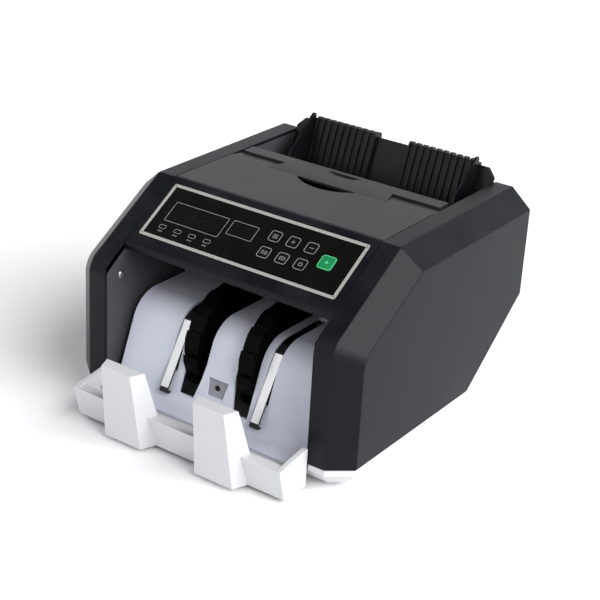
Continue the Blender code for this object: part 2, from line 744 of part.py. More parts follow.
def make_bar():
    """Cross bar in front of the hopper, with its middle tab and the wall that drops behind it."""
    half = BAR_HALF
    outline = [
        (-half, BAR_FRONT_Y), (-TAB_ROOT_HALF, BAR_FRONT_Y), (-TAB_HALF, TAB_FRONT_Y),
        (TAB_HALF, TAB_FRONT_Y), (TAB_ROOT_HALF, BAR_FRONT_Y), (half, BAR_FRONT_Y),
        (half, BAR_REAR_Y), (-half, BAR_REAR_Y),
    ]
    bar = prism("hopper_bar", "Z", outline, BAR_TOP_Z - 0.003, BAR_TOP_Z, cover_plastic())
    wall_half = FRAME_X - GAP
    wall = block(
        "bar_wall", (-wall_half, BAR_REAR_Y - WALL, BAR_WALL_BOTTOM_Z),
        (wall_half, BAR_REAR_Y - 0.0001, TOP_Z - 0.004),
    )
    web = block("bar_web", (-half, BAR_REAR_Y - WALL, TOP_Z - 0.006), (half, BAR_REAR_Y - 0.0001, BAR_TOP_Z - 0.001))
    join(bar, web, wall)
    tab_slope = [
        (TAB_FRONT_Y - 0.001, BAR_TOP_Z - 0.0011), (TAB_FRONT_Y + 0.010, BAR_TOP_Z),
        (TAB_FRONT_Y + 0.010, BAR_TOP_Z + 0.003), (TAB_FRONT_Y - 0.001, BAR_TOP_Z + 0.003),
    ]
    cut(bar, prism("bar_tab_slope", "X", tab_slope, -WIDTH, WIDTH))
    scoop_radius = 0.060
    scoop = prism("bar_scoop", "Y", [
        (scoop_radius * math.sin(a), BAR_TOP_Z - 0.0019 + scoop_radius - scoop_radius * math.cos(a))
        for a in [math.radians(-24 + 4 * k) for k in range(13)]
    ], BAR_FRONT_Y + 0.0025, BAR_FRONT_Y + 0.0085)
    return cut(bar, scoop)


def make_deck():
    half = FRAME_X - GAP
    deck = block("feed_deck", (-half, DECK_FRONT_Y, DECK_Z - 0.002), (half, DECK_REAR_Y, DECK_Z), dark_plastic())
    flange = block("deck_flange", (-half, DECK_FRONT_Y, DECK_Z - 0.016), (half, DECK_FRONT_Y + 0.002, DECK_Z - 0.001))
    boss = prism("deck_boss", "Z", circle((0, KNOB_Y), KNOB_RADIUS + 0.003), DECK_Z - 0.012, DECK_Z - 0.001)
    return join(deck, flange, boss)


def make_knob():
    """Feed gap adjusting knob on the deck, fluted, turning about an upright axis."""
    points = []
    for k in range(48):
        radius = KNOB_RADIUS - (0.0008 if k % 4 < 2 else 0)
        angle = 2 * math.pi * k / 48
        points.append((radius * math.cos(angle), KNOB_Y + radius * math.sin(angle)))
    knob = prism("feed_gap_knob", "Z", points, DECK_Z + GAP, DECK_Z + KNOB_HEIGHT, black_plastic())
    slot = block(
        "knob_slot", (-KNOB_RADIUS * 0.7, KNOB_Y - 0.0009, DECK_Z + KNOB_HEIGHT - 0.0022),
        (KNOB_RADIUS * 0.7, KNOB_Y + 0.0009, DECK_Z + KNOB_HEIGHT + 0.002),
    )
    return cut(knob, slot)


def plate_point(up, off):
    """(y, z) of a place on the hopper's leaning back plate: up from its top edge, off its front."""
    return (
        PLATE_TOP[0] + up * math.sin(PLATE_LEAN) - off * math.cos(PLATE_LEAN),
        PLATE_TOP[1] + up * math.cos(PLATE_LEAN) + off * math.sin(PLATE_LEAN),
    )


def make_hopper():
    drop = (PLATE_TOP[1] - HOPPER_CORNER_Z) / math.cos(PLATE_LEAN)
    path = rounded([PLATE_TOP, plate_point(-drop, 0), HOPPER_FLOOR_END], (0, 0.008, 0), steps=6)
    outline = thickened(path[::-1], WALL)
    half = FRAME_X - GAP
    hopper = prism("hopper_body", "X", outline, -half, half, black_plastic())
    cutters = []
    for side in (-1, 1):
        ends = sorted((side * (ROLLER_INNER - 0.0015), side * (ROLLER_OUTER + 0.0015)))
        low = (ends[0], PICKUP_AXIS[0] - 0.016, 0.080)
        high = (ends[1], PICKUP_AXIS[0] + 0.012, 0.120)
        cutters.append(block(f"hopper_roller_slot_{side}", low, high))
        corner = [
            (side * (half - PLATE_CORNER_CUT), PLATE_TOP[1] + 0.003), (side * (half + 0.003), PLATE_TOP[1] + 0.003),
            (side * (half + 0.003), PLATE_TOP[1] - PLATE_CORNER_CUT),
        ]
        cutters.append(prism(f"hopper_corner_{side}", "Y", corner, DEPTH - 0.03, DEPTH + 0.03))
    return cut(hopper, *cutters)


def make_guide(name, side):
    """Bill guide: a ribbed plate that hooks over the back plate, with a fin at its outer end."""
    def section(points):
        return [plate_point(up, off) for up, off in points]

    front, skin = GUIDE_SKIN + 0.0004, GUIDE_SKIN
    behind = -WALL - 0.0004 - skin
    path = rounded(
        [(-GUIDE_LENGTH, front), (front, front), (front, behind), (-HOOK_DROP, behind)],
        (0, 0.0019, 0.0019, 0), steps=3,
    )
    ends = sorted((side * GUIDE_OUTER, side * GUIDE_INNER))
    guide = prism(name, "X", section(thickened(path, skin)), *ends, black_plastic())
    rib = rounded(
        [(1.5 * RIB_PROUD - GUIDE_LENGTH, front + RIB_PROUD), (front + RIB_PROUD, front + RIB_PROUD),
         (front + RIB_PROUD, behind - RIB_PROUD), (0.002 - HOOK_DROP, behind - RIB_PROUD)],
        (0, 0.0030, 0.0030, 0), steps=3,
    )
    rib_outline = section(thickened(rib, RIB_PROUD + skin / 2))
    first, last = GUIDE_INNER, GUIDE_OUTER - FIN_THICK - 0.003
    pitch = (last - first - RIB_WIDTH) / (RIB_COUNT - 1)
    for number in range(RIB_COUNT):
        x = first + number * pitch
        reach = sorted((side * x, side * (x + RIB_WIDTH)))
        join(guide, prism(f"{name}_rib_{number}", "X", rib_outline, *reach))
    fin = section([
        (-0.0495, 0.0010), (0.0026, 0.0010), (0.0048, 0.0016), (0.0058, 0.0030), (0.0056, 0.0045),
        (0.0043, 0.0060), (-0.0260, 0.0240), (-0.0300, 0.0255), (-0.0355, 0.0252), (-0.0420, 0.0195), (-0.0495, 0.0030),
    ])
    reach = sorted((side * (GUIDE_OUTER - FIN_THICK), side * GUIDE_OUTER))
    return join(guide, prism(f"{name}_fin", "X", fin, *reach))


def slot_rear():
    return STACKER_AXIS[0] + WHEEL_RADIUS + SLOT_CLEARANCE


def face_path():
    """Section of the stacker face from its foot to its rear edge."""
    low, high = FACE_CORNER
    rear = slot_rear() + FACE_BEHIND_SLOT
    return rounded(
        [(FACE_FRONT_Y, FACE_FOOT_Z), (low, FACE_FOOT_Z), (high, FACE_TOP_Z), (rear, FACE_TOP_Z)],
        (0, FACE_FOOT_RADIUS, FACE_TOP_RADIUS, 0), steps=10,
    )


def face_line(z, behind=0.0):
    """y of the steep part of the stacker face at a height, or of a line behind it."""
    low, high = FACE_CORNER
    run = (high - low) / (FACE_TOP_Z - FACE_FOOT_Z)
    return low + (z - FACE_FOOT_Z) * run + behind * math.hypot(1, run)


def make_face():
    outline = thickened(face_path(), FACE_SKIN)
    face = prism("stacker_face", "X", outline, -FACE_HALF, FACE_HALF, grey_plastic(), smooth=True)
    cutters = []
    for side in (-1, 1):
        slot = [
            (side * SLOT_OUTER, SLOT_BOTTOM_Z), (side * SLOT_OUTER, 0.12), (side * SLOT_INNER, 0.12),
            (side * SLOT_INNER, 0.052), (side * (SLOT_INNER + 0.0012), 0.041),
            (side * SLOT_INNER_LOW, SLOT_BOTTOM_Z),
        ]
        cutters.append(prism(f"face_wheel_slot_{side}", "Y", slot, -0.05, slot_rear()))
        strip = [
            (side * STRIP_INNER, 0.040), (side * STRIP_OUTER, 0.040),
            (side * STRIP_OUTER, 0.12), (side * STRIP_INNER, 0.12),
        ]
        cutters.append(prism(f"face_strip_slot_{side}", "Y", strip, -0.05, 0.090))
    rear = slot_rear() + FACE_BEHIND_SLOT
    ears = block(
        "face_ears", (-FRAME_X + GAP, rear - 0.012, FACE_TOP_Z - FACE_SKIN - 0.003),
        (FRAME_X - GAP, rear - 0.001, FACE_TOP_Z - 0.0006),
    )
    join(face, ears)
    window = [
        (-WINDOW_HALF * 0.8, WINDOW_Z[0]), (WINDOW_HALF * 0.8, WINDOW_Z[0]),
        (WINDOW_HALF, WINDOW_Z[1]), (-WINDOW_HALF, WINDOW_Z[1]),
    ]
    cutters.append(prism("face_window", "Y", window, -0.05, 0.05))
    return cut(face, *cutters)


def make_strip(name, side):
    """Bright steel guide strip, proud of the face at its foot and level with it at its head."""
    foot_y = face_line(STRIP_BOTTOM[1]) - 2 * GAP
    path = [
        (foot_y, STRIP_BOTTOM[1] - 0.0006), (STRIP_BOTTOM[0], STRIP_BOTTOM[1]),
        STRIP_TOP, (STRIP_TOP[0] + 0.007, STRIP_TOP[1] + 0.0035),
    ]
    path = rounded(path, (0, 1.5 * STRIP_THICK, 0.004, 0), steps=3)
    ends = sorted((side * (STRIP_INNER + GAP), side * (STRIP_OUTER - GAP)))
    return prism(name, "X", thickened(path, STRIP_THICK), *ends, steel())


def make_sensor():
    low, high = WINDOW_Z[0] - 0.003, WINDOW_Z[1] + 0.003
    back = FACE_SKIN + GAP
    outline = [
        (face_line(low, back), low), (face_line(high, back), high),
        (face_line(high, back) + 0.007, high), (face_line(low, back) + 0.007, low),
    ]
    sensor = prism("stacker_sensor", "X", outline, -0.011, 0.011, grey_plastic())
    z = sum(WINDOW_Z) / 2
    lens = prism("sensor_lens", "Y", circle((0, z), 0.0025), face_line(z, back) - 0.0009, face_line(z) + 0.006)
    return join(sensor, lens)


def wheel_outline():
    """Hub with swept flexible blades, as one closed outline about the stacker axis.

    The tips trail the turning, so a bill that comes faster than the wheel slides in behind a blade.
    """
    points = []
    pitch = 2 * math.pi / BLADE_COUNT
    reach = WHEEL_RADIUS - WHEEL_HUB_RADIUS
    steps = 12
    for number in range(BLADE_COUNT):
        start = number * pitch
        rising, falling = [], []
        for k in range(steps + 1):
            share = (k / steps) ** (1 / BLADE_CURL)
            radius = WHEEL_HUB_RADIUS + reach * share
            middle = start - BLADE_SWEEP * k / steps
            turn = BLADE_SWEEP * BLADE_CURL * share ** (BLADE_CURL - 1) / reach
            half = BLADE_THICK * (1 - 0.35 * share) * math.hypot(1 / radius, turn) / 2
            rising.append((radius, middle - half))
            falling.append((radius, middle + half))
        points += rising + falling[::-1]
    y, z = STACKER_AXIS
    return [(y + r * math.cos(a), z + r * math.sin(a)) for r, a in points]


def make_wheel(name, side):
    middle = side * (SLOT_INNER_LOW + SLOT_OUTER) / 2
    wheel = prism(name, "X", wheel_outline(), middle - WHEEL_WIDTH / 2, middle + WHEEL_WIDTH / 2, rubber())
    bore = rod(f"{name}_bore", middle - 0.02, middle + 0.02, STACKER_SHAFT_RADIUS + RUNNING, STACKER_AXIS, None)
    return cut(wheel, bore)


def pulley(name, x, radius, bore, axis):
    edge = x - PULLEY_WIDTH / 2, x + PULLEY_WIDTH / 2
    flange = 0.0006
    profile = [
        (edge[0], bore), (edge[0], radius + PULLEY_FLANGE), (edge[0] + flange, radius + PULLEY_FLANGE),
        (edge[0] + flange, radius), (edge[1] - flange, radius), (edge[1] - flange, radius + PULLEY_FLANGE),
        (edge[1], radius + PULLEY_FLANGE), (edge[1], bore),
    ]
    return turned(name, profile, axis, steel(), bored=True)


def belt(name, x, pulleys):
    inside = wrapped([p for axis, radius in pulleys for p in circle(axis, radius + GAP, 36)])
    outside = wrapped([p for axis, radius in pulleys for p in circle(axis, radius + GAP + BELT_THICK, 36)])
    low, high = x - BELT_WIDTH / 2, x + BELT_WIDTH / 2
    loop = prism(name, "X", outside, low, high, rubber())
    return cut(loop, prism(f"{name}_inside", "X", inside, low - 0.01, high + 0.01))


def retard_height():
    """z of the retard roller's axis, so that bills pass between it and the feed rollers."""
    reach = FEED_ROLLER_RADIUS + RETARD_RADIUS + RETARD_GAP
    return FEED_AXIS[1] + math.sqrt(reach**2 - (RETARD_AXIS_Y - FEED_AXIS[0])**2)


def make_drive():
    left, right = -FRAME_X - FRAME_THICK, FRAME_X + FRAME_THICK
    rod("stacker_shaft", STACKER_BELT_X - 0.004, right + 0.004, STACKER_SHAFT_RADIUS, STACKER_AXIS, steel())
    rod("feed_shaft", FEED_BELT_X - 0.004, right + 0.003, FEED_SHAFT_RADIUS, FEED_AXIS, steel())
    rod("pickup_shaft", FEED_BELT_X - 0.004, right + 0.003, PICKUP_SHAFT_RADIUS, PICKUP_AXIS, steel())
    for name, side in (("left", -1), ("right", 1)):
        ends = sorted((side * ROLLER_INNER, side * ROLLER_OUTER))
        make_wheel(f"stacker_wheel_{name}", side)
        bore = FEED_SHAFT_RADIUS + RUNNING
        ring(f"feed_roller_{name}", *ends, bore, FEED_ROLLER_RADIUS, FEED_AXIS, rubber())
        bore = PICKUP_SHAFT_RADIUS + RUNNING
        ring(f"pickup_roller_{name}", *ends, bore, PICKUP_ROLLER_RADIUS, PICKUP_AXIS, rubber())
        x0 = side * (FRAME_X - GAP)
        x1 = side * (FRAME_X - BEARING_WIDTH / 2)
        x2 = side * (FRAME_X + BEARING_WIDTH)
        bore = STACKER_SHAFT_RADIUS + RUNNING
        profile = [(x1, bore), (x1, BEARING_FLANGE), (x0, BEARING_FLANGE), (x0, BEARING_RADIUS),
                   (x2, BEARING_RADIUS), (x2, bore)]
        turned(f"stacker_bearing_{name}", profile, STACKER_AXIS, steel(), bored=True)
    half = FRAME_X - GAP
    journal = 0.003
    turned("retard_roller", [
        (-half, 0), (-half, journal), (-ROLLER_OUTER - 0.004, journal), (-ROLLER_OUTER - 0.004, RETARD_RADIUS),
        (ROLLER_OUTER + 0.004, RETARD_RADIUS), (ROLLER_OUTER + 0.004, journal), (half, journal), (half, 0),
    ], (RETARD_AXIS_Y, retard_height()), rubber())
    pulley("feed_pulley", FEED_BELT_X, FEED_PULLEY_RADIUS, FEED_SHAFT_RADIUS + RUNNING, FEED_AXIS)
    pulley("pickup_pulley", FEED_BELT_X, PICKUP_PULLEY_RADIUS, PICKUP_SHAFT_RADIUS + RUNNING, PICKUP_AXIS)
    pulley("stacker_pulley", STACKER_BELT_X, STACKER_PULLEY_RADIUS, STACKER_SHAFT_RADIUS + RUNNING, STACKER_AXIS)
    make_motor()
    belt("feed_belt", FEED_BELT_X, (
        (MOTOR_AXIS, MOTOR_PULLEY_RADIUS), (FEED_AXIS, FEED_PULLEY_RADIUS), (PICKUP_AXIS, PICKUP_PULLEY_RADIUS),
    ))
    belt("stacker_belt", STACKER_BELT_X, (
        (MOTOR_AXIS, MOTOR_PULLEY_RADIUS), (STACKER_AXIS, STACKER_PULLEY_RADIUS),
    ))


def make_motor():
    """Main motor on the left frame; its shaft and its double pulley turn as one piece."""
    start = -FRAME_X + GAP
    turned("main_motor", [
        (start, 0), (start, MOTOR_RADIUS * 0.45), (start + 0.003, MOTOR_RADIUS * 0.45),
        (start + 0.003, MOTOR_RADIUS), (start + MOTOR_LENGTH, MOTOR_RADIUS),
        (start + MOTOR_LENGTH, MOTOR_RADIUS * 0.4), (start + MOTOR_LENGTH + 0.003, MOTOR_RADIUS * 0.4),
        (start + MOTOR_LENGTH + 0.003, 0),
    ], MOTOR_AXIS, steel())
    shaft, groove = MOTOR_SHAFT_RADIUS, MOTOR_PULLEY_RADIUS
    flange = groove + PULLEY_FLANGE
    profile = [(-FRAME_X - GAP, 0), (-FRAME_X - GAP, shaft)]
    for x in (FEED_BELT_X, STACKER_BELT_X):
        near, far = x + PULLEY_WIDTH / 2, x - PULLEY_WIDTH / 2
        inner = shaft if x == FEED_BELT_X else groove * 0.8
        profile += [(near, inner), (near, flange), (near - 0.0006, flange), (near - 0.0006, groove),
                    (far + 0.0006, groove), (far + 0.0006, flange), (far, flange)]
        profile.append((far, groove * 0.8 if x == FEED_BELT_X else shaft))
    profile += [(STACKER_BELT_X - PULLEY_WIDTH / 2 - 0.001, shaft), (STACKER_BELT_X - PULLEY_WIDTH / 2 - 0.001, 0)]
    turned("motor_pulley", profile, MOTOR_AXIS, steel())


def make_electrics():
    (y0, z0), (y1, z1) = MAIN_BOARD
    x = MAIN_BOARD_X
    outside = FRAME_X + FRAME_THICK + GAP
    board = block("main_board", (x, y0, z0), (x + BOARD_THICK, y1, z1), board_green())
    for number, (y, z, size, height) in enumerate((
        (0.084, 0.075, 0.016, 0.003), (0.110, 0.095, 0.010, 0.009), (0.132, 0.065, 0.012, 0.012),
    )):
        part = block(
            f"board_part_{number}", (x + BOARD_THICK / 2, y - size / 2, z - size / 2),
            (x + BOARD_THICK + height, y + size / 2, z + size / 2),
        )
        join(board, part)
    for number, (y, z) in enumerate(rectangle((y0 + 0.006, z0 + 0.006), (y1 - 0.006, z1 - 0.006))):
        join(board, block(
            f"board_post_{number}", (outside, y - 0.003, z - 0.003), (x + BOARD_THICK / 2, y + 0.003, z + 0.003)
        ))
    (y0, z0), (y1, z1) = SUPPLY
    block("power_supply", (outside, y0, z0), (outside + SUPPLY_WIDTH, y1, z1), steel())
    rear = DEPTH - BASE_INSET
    half_x, half_z = INLET_SIZE[0] / 2, INLET_SIZE[1] / 2
    inlet = block(
        "power_inlet", (INLET_X - half_x, rear - INLET_DEPTH, INLET_Z - half_z),
        (INLET_X + half_x, rear + 0.001, INLET_Z + half_z), black_plastic(),
    )
    flange_x, flange_z = half_x + 0.003, half_z + 0.003
    flange = block(
        "inlet_flange", (INLET_X - flange_x, rear + GAP, INLET_Z - flange_z),
        (INLET_X + flange_x, rear + 0.0022, INLET_Z + flange_z),
    )
    join(inlet, flange)
    mouth = block(
        "inlet_mouth", (INLET_X - half_x + 0.002, rear - INLET_DEPTH + 0.004, INLET_Z - half_z + 0.002),
        (INLET_X + half_x - 0.002, rear + 0.01, INLET_Z + half_z - 0.002),
    )
    cut(inlet, mouth)
    make_switch(rear)


def make_switch(rear):
    """Rocker that turns on a pin along X; it is drawn tilted, with its lower half pressed in."""
    half_x, half_z = SWITCH_SIZE[0] / 2 - 0.0008, SWITCH_SIZE[1] / 2 - 0.0012
    outline = [
        (-0.006, -half_z), (0.0024, -half_z), (0.0008, 0), (0.0024, half_z), (-0.006, half_z),
    ]
    rocker = prism("power_switch", "X", outline, -half_x, half_x, black_plastic())
    rocker.location = (SWITCH_X, rear, INLET_Z)
    rocker.rotation_euler = (ROCKER_TILT, 0, 0)


def make_rear_panel():
    half = BAY_WIDTH / 2 - GAP
    rear = DEPTH - WALL - GAP
    top = 0.150
    panel = block("rear_panel", (-half, rear - WALL, BASE_REAR_Z + GAP), (half, rear, top), dark_plastic())
    slots = []
    for number in range(7):
        x = -0.048 + number * 0.016
        slots.append(block(
            f"rear_vent_{number}", (x - 0.002, rear - 0.02, BASE_REAR_Z + 0.014), (x + 0.002, rear + 0.02, top - 0.016),
        ))
    return cut(panel, *slots)


def make_shell_screws():
    """Screw heads on the frames' inner faces, near the front of the stacker bay."""
    for name, side in (("left", -1), ("right", 1)):
        x0 = side * (FRAME_X - GAP)
        x1 = side * (FRAME_X - 0.0016)
        turned(f"shell_screw_{name}", [
            (x0, 0), (x0, 0.003), (side * (FRAME_X - 0.0009), 0.003), (x1, 0.0018), (x1, 0),
        ], (0.0173, 0.1023), steel())


def set_origin(name, y, z, x=0.0):
    """Puts a moving piece's origin on its joint's axis and leaves its shape where it is."""
    obj = bpy.data.objects[name]
    place = Vector((x, y, z))
    obj.data.transform(Matrix.Translation(-place))
    obj.location = place


def set_origins():
    for name in ("stacker_shaft", "stacker_wheel_left", "stacker_wheel_right", "stacker_pulley"):
        set_origin(name, *STACKER_AXIS)
    for name in ("feed_shaft", "feed_roller_left", "feed_roller_right", "feed_pulley"):
        set_origin(name, *FEED_AXIS)
    for name in ("pickup_shaft", "pickup_roller_left", "pickup_roller_right", "pickup_pulley"):
        set_origin(name, *PICKUP_AXIS)
    set_origin("motor_pulley", *MOTOR_AXIS)
    set_origin("retard_roller", RETARD_AXIS_Y, retard_height())
    set_origin("top_cover", COVER_AXIS_Y, TOP_Z - COVER_THICK)
    set_origin("feed_gap_knob", KNOB_Y, DECK_Z)
    for name, side in (("left", -1), ("right", 1)):
        set_origin(f"bill_guide_{name}", *PLATE_TOP, side * GUIDE_OUTER)


def centre_lengthways():
    """Moves everything along Y so that y = 0 is halfway between the foremost and rearmost points."""
    bpy.context.view_layer.update()
    graph = bpy.context.evaluated_depsgraph_get()
    found = []
    for obj in bpy.context.scene.objects:
        if not obj.hide_render:
            shape = obj.evaluated_get(graph)
            found += [(shape.matrix_world @ corner.co).y for corner in shape.data.vertices]
    middle = (min(found) + max(found)) / 2
    for obj in bpy.context.scene.objects:
        obj.location.y -= middle


def main():
    clear_scene()
    for name, side in (("left", -1), ("right", 1)):
        make_side_shell(f"side_shell_{name}", side)
        make_side_frame(f"side_frame_{name}", side)
        make_guide(f"bill_guide_{name}", side)
        make_strip(f"guide_strip_{name}", side)
    make_base()
    make_feet()
    make_tray()
    make_housing()
    make_overlay()
    make_keys()
    make_displays()
    make_cover()
    make_bar()
    make_deck()
    make_knob()
    make_hopper()
    make_face()
    make_sensor()
    make_drive()
    make_electrics()
    make_rear_panel()
    make_shell_screws()
    set_origins()
    centre_lengthways()


main()
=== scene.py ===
# %% [markdown]
# # A banknote counting machine
# This notebook dresses a finished mechanical model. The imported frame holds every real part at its
# real size, so nothing here changes a dimension. What is added is what the eye wants: softened
# moulded edges, printed lines on the keypad, grain in the plastic, and a studio to look at it in.

import json
import math

import bmesh
import bpy
from mathutils import Matrix, Vector


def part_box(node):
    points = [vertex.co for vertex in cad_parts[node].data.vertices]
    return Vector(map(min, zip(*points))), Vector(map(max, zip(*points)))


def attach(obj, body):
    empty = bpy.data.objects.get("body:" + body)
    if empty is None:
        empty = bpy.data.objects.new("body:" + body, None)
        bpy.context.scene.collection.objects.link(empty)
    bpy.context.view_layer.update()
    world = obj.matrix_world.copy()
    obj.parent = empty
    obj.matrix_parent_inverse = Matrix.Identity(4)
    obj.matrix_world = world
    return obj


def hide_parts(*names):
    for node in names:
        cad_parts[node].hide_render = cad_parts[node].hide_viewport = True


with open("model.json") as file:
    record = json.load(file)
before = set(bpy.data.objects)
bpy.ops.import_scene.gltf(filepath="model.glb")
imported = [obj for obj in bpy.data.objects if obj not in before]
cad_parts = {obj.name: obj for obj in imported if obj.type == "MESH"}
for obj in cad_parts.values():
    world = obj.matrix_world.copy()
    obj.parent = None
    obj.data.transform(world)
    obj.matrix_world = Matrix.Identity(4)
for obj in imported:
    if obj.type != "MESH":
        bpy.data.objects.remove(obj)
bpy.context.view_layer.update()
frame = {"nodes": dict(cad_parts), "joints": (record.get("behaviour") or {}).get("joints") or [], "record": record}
nodes = frame["nodes"]
bodies = frame["record"]["behaviour"]["bodies"]
body_of_node = {node: body for body, members in bodies.items() for node in members}
scene = bpy.context.scene

# %% [markdown]
# The camera stands in front and to the right, a little above, with a long lens so that the
# cabinet's sides stay nearly parallel. A camera could be aimed with a Track To constraint. Here
# its three axes are worked out from two angles and a small roll, which keeps it a fixed object.

# %% Camera
VIEW_AZIMUTH = math.radians(34.072)
VIEW_ELEVATION = math.radians(24.82)
VIEW_ROLL = math.radians(3.324)
VIEW_DISTANCE = 1.1607
VIEW_TARGET = Vector((0.0123, 0.0005, 0.0851))
LENS_LENGTH = 93.02

back = Vector((
    math.sin(VIEW_AZIMUTH) * math.cos(VIEW_ELEVATION),
    -math.cos(VIEW_AZIMUTH) * math.cos(VIEW_ELEVATION),
    math.sin(VIEW_ELEVATION),
))
level = Vector((0, 0, 1)).cross(back).normalized()
upright = back.cross(level)
right = level * math.cos(VIEW_ROLL) + upright * math.sin(VIEW_ROLL)
up = -level * math.sin(VIEW_ROLL) + upright * math.cos(VIEW_ROLL)
camera_data = bpy.data.cameras.new("studio_camera")
camera_data.lens = LENS_LENGTH
camera_data.sensor_width = 36
camera = bpy.data.objects.new("studio_camera", camera_data)
scene.collection.objects.link(camera)
turn = Matrix((right, up, back)).transposed().to_4x4()
camera.matrix_world = Matrix.Translation(VIEW_TARGET + back * VIEW_DISTANCE) @ turn
scene.camera = camera
print("camera at", [round(v, 3) for v in camera.location])

# %% [markdown]
# The studio is a pale floor under a very wide, soft sun from the right, and a sky that is bright
# round the horizon and dim overhead. Flat panels that face up then stay dark and glossy, while
# steep faces pick up the bright horizon. One wide, weak lamp in front lifts the white tray. More
# lamps on stands would also work, but each shows as a patch in the keypad. The plain Standard
# view keeps white plastic white.

# %% Floor and lights
SKY_HORIZON = 0.90
SKY_OVERHEAD = 0.10
SKY_TINT = (0.96, 0.975, 1.0, 1)
SUN_STRENGTH = 4.3
SUN_SPREAD = math.radians(60)
SUN_FROM = Vector((0.82, -0.02, 0.57))
FILL_STRENGTH = 2.5
FILL_SIZE = (1.8, 0.9)
FILL_PLACE = Vector((-0.15, -1.45, 1.05))
FILL_AIM = Vector((0, 0, 0.05))
FLOOR_SIZE = 9

bpy.ops.object.select_all(action="DESELECT")
sun_data = bpy.data.lights.new("studio_sun", "SUN")
sun_data.energy = SUN_STRENGTH
sun_data.angle = SUN_SPREAD
sun = bpy.data.objects.new("studio_sun", sun_data)
scene.collection.objects.link(sun)
sun.rotation_euler = SUN_FROM.to_track_quat("Z", "Y").to_euler()

world = bpy.data.worlds.new("studio_air")
scene.world = world
world.use_nodes = True
sky = world.node_tree
direction = sky.nodes.new("ShaderNodeTexCoord").outputs["Generated"]
parts = sky.nodes.new("ShaderNodeSeparateXYZ")
sky.links.new(direction, parts.inputs[0])
fade = sky.nodes.new("ShaderNodeMapRange")
fade.interpolation_type = "SMOOTHSTEP"
sky.links.new(parts.outputs["Z"], fade.inputs["Value"])
fade_ends = {"From Min": 0.55, "From Max": 0.83, "To Min": SKY_HORIZON, "To Max": SKY_OVERHEAD}
for label, value in fade_ends.items():
    fade.inputs[label].default_value = value
sky.links.new(fade.outputs["Result"], sky.nodes["Background"].inputs["Strength"])
sky.nodes["Background"].inputs["Color"].default_value = SKY_TINT
scene.view_settings.view_transform = "Standard"

fill_data = bpy.data.lights.new("front_fill", "AREA")
fill_data.shape = "RECTANGLE"
fill_data.size, fill_data.size_y = FILL_SIZE
fill_data.energy = FILL_STRENGTH
fill = bpy.data.objects.new("front_fill", fill_data)
scene.collection.objects.link(fill)
fill.location = FILL_PLACE
fill.rotation_euler = (FILL_AIM - FILL_PLACE).to_track_quat("-Z", "Y").to_euler()

bpy.ops.mesh.primitive_plane_add(size=FLOOR_SIZE, location=(0, 0, 0))
floor = bpy.context.active_object
floor.name = "studio_floor"

# %% [markdown]
# Moulded plastic is never perfectly flat in tone. Its mould is spark-eroded, so the surface has a
# fine pebble, and touched or dusty places are a little duller. One group makes that grain for all
# the plastics. It could be an image, but noise on Object coordinates has no seams and any scale.

# %% Grain group


def new_group(name, inputs, outputs):
    """An empty shader group with named value inputs and outputs."""
    group = bpy.data.node_groups.new(name, "ShaderNodeTree")
    for label, default in inputs:
        socket = group.interface.new_socket(label, in_out="INPUT", socket_type="NodeSocketFloat")
        socket.default_value = default
    for label in outputs:
        group.interface.new_socket(label, in_out="OUTPUT", socket_type="NodeSocketFloat")
    return group, group.nodes.new("NodeGroupInput"), group.nodes.new("NodeGroupOutput")


def wire(tree, source, target):
    tree.links.new(source, target)


def maths(tree, operation, first, second=0.5, third=None):
    """A Math node whose operands are sockets or plain numbers."""
    node = tree.nodes.new("ShaderNodeMath")
    node.operation = operation
    for socket, value in zip(node.inputs, (first, second, third)):
        if isinstance(value, (int, float)):
            socket.default_value = value
        elif value is not None:
            wire(tree, value, socket)
    return node.outputs[0]


def noise(tree, vector, scale, detail=2.0):
    node = tree.nodes.new("ShaderNodeTexNoise")
    node.inputs["Detail"].default_value = detail
    wire(tree, vector, node.inputs["Vector"])
    if isinstance(scale, (int, float)):
        node.inputs["Scale"].default_value = scale
    else:
        wire(tree, scale, node.inputs["Scale"])
    return node.outputs["Fac"]


def ramp(tree, value, low, high, to_low=0.0, to_high=1.0):
    """A Map Range that is clamped at both ends."""
    node = tree.nodes.new("ShaderNodeMapRange")
    wire(tree, value, node.inputs["Value"])
    ends = {"From Min": low, "From Max": high, "To Min": to_low, "To Max": to_high}
    for label, number in ends.items():
        node.inputs[label].default_value = number
    return node.outputs["Result"]


grain_group, grain_in, grain_out = new_group(
    "mould_grain", (("Pebble Scale", 1400.0), ("Cloud Scale", 14.0)), ("Height", "Cloud", "Speck")
)
place = grain_group.nodes.new("ShaderNodeTexCoord").outputs["Object"]
pebble = noise(grain_group, place, grain_in.outputs["Pebble Scale"], 3.0)
wire(grain_group, pebble, grain_out.inputs["Height"])
cloudy = noise(grain_group, place, grain_in.outputs["Cloud Scale"], 4.0)
wire(grain_group, cloudy, grain_out.inputs["Cloud"])
speck = noise(grain_group, place, 2600.0, 1.0)
wire(grain_group, ramp(grain_group, speck, 0.62, 0.74), grain_out.inputs["Speck"])
print("group", grain_group.name, "made")

# %% [markdown]
# Corners are where hands and cloths rub, so they go a shade lighter and smoother. The Bevel node
# gives a normal that is rounded off near an edge; where it differs from the true normal there is
# an edge. Broken up with noise, that makes a believable rub instead of a drawn line.

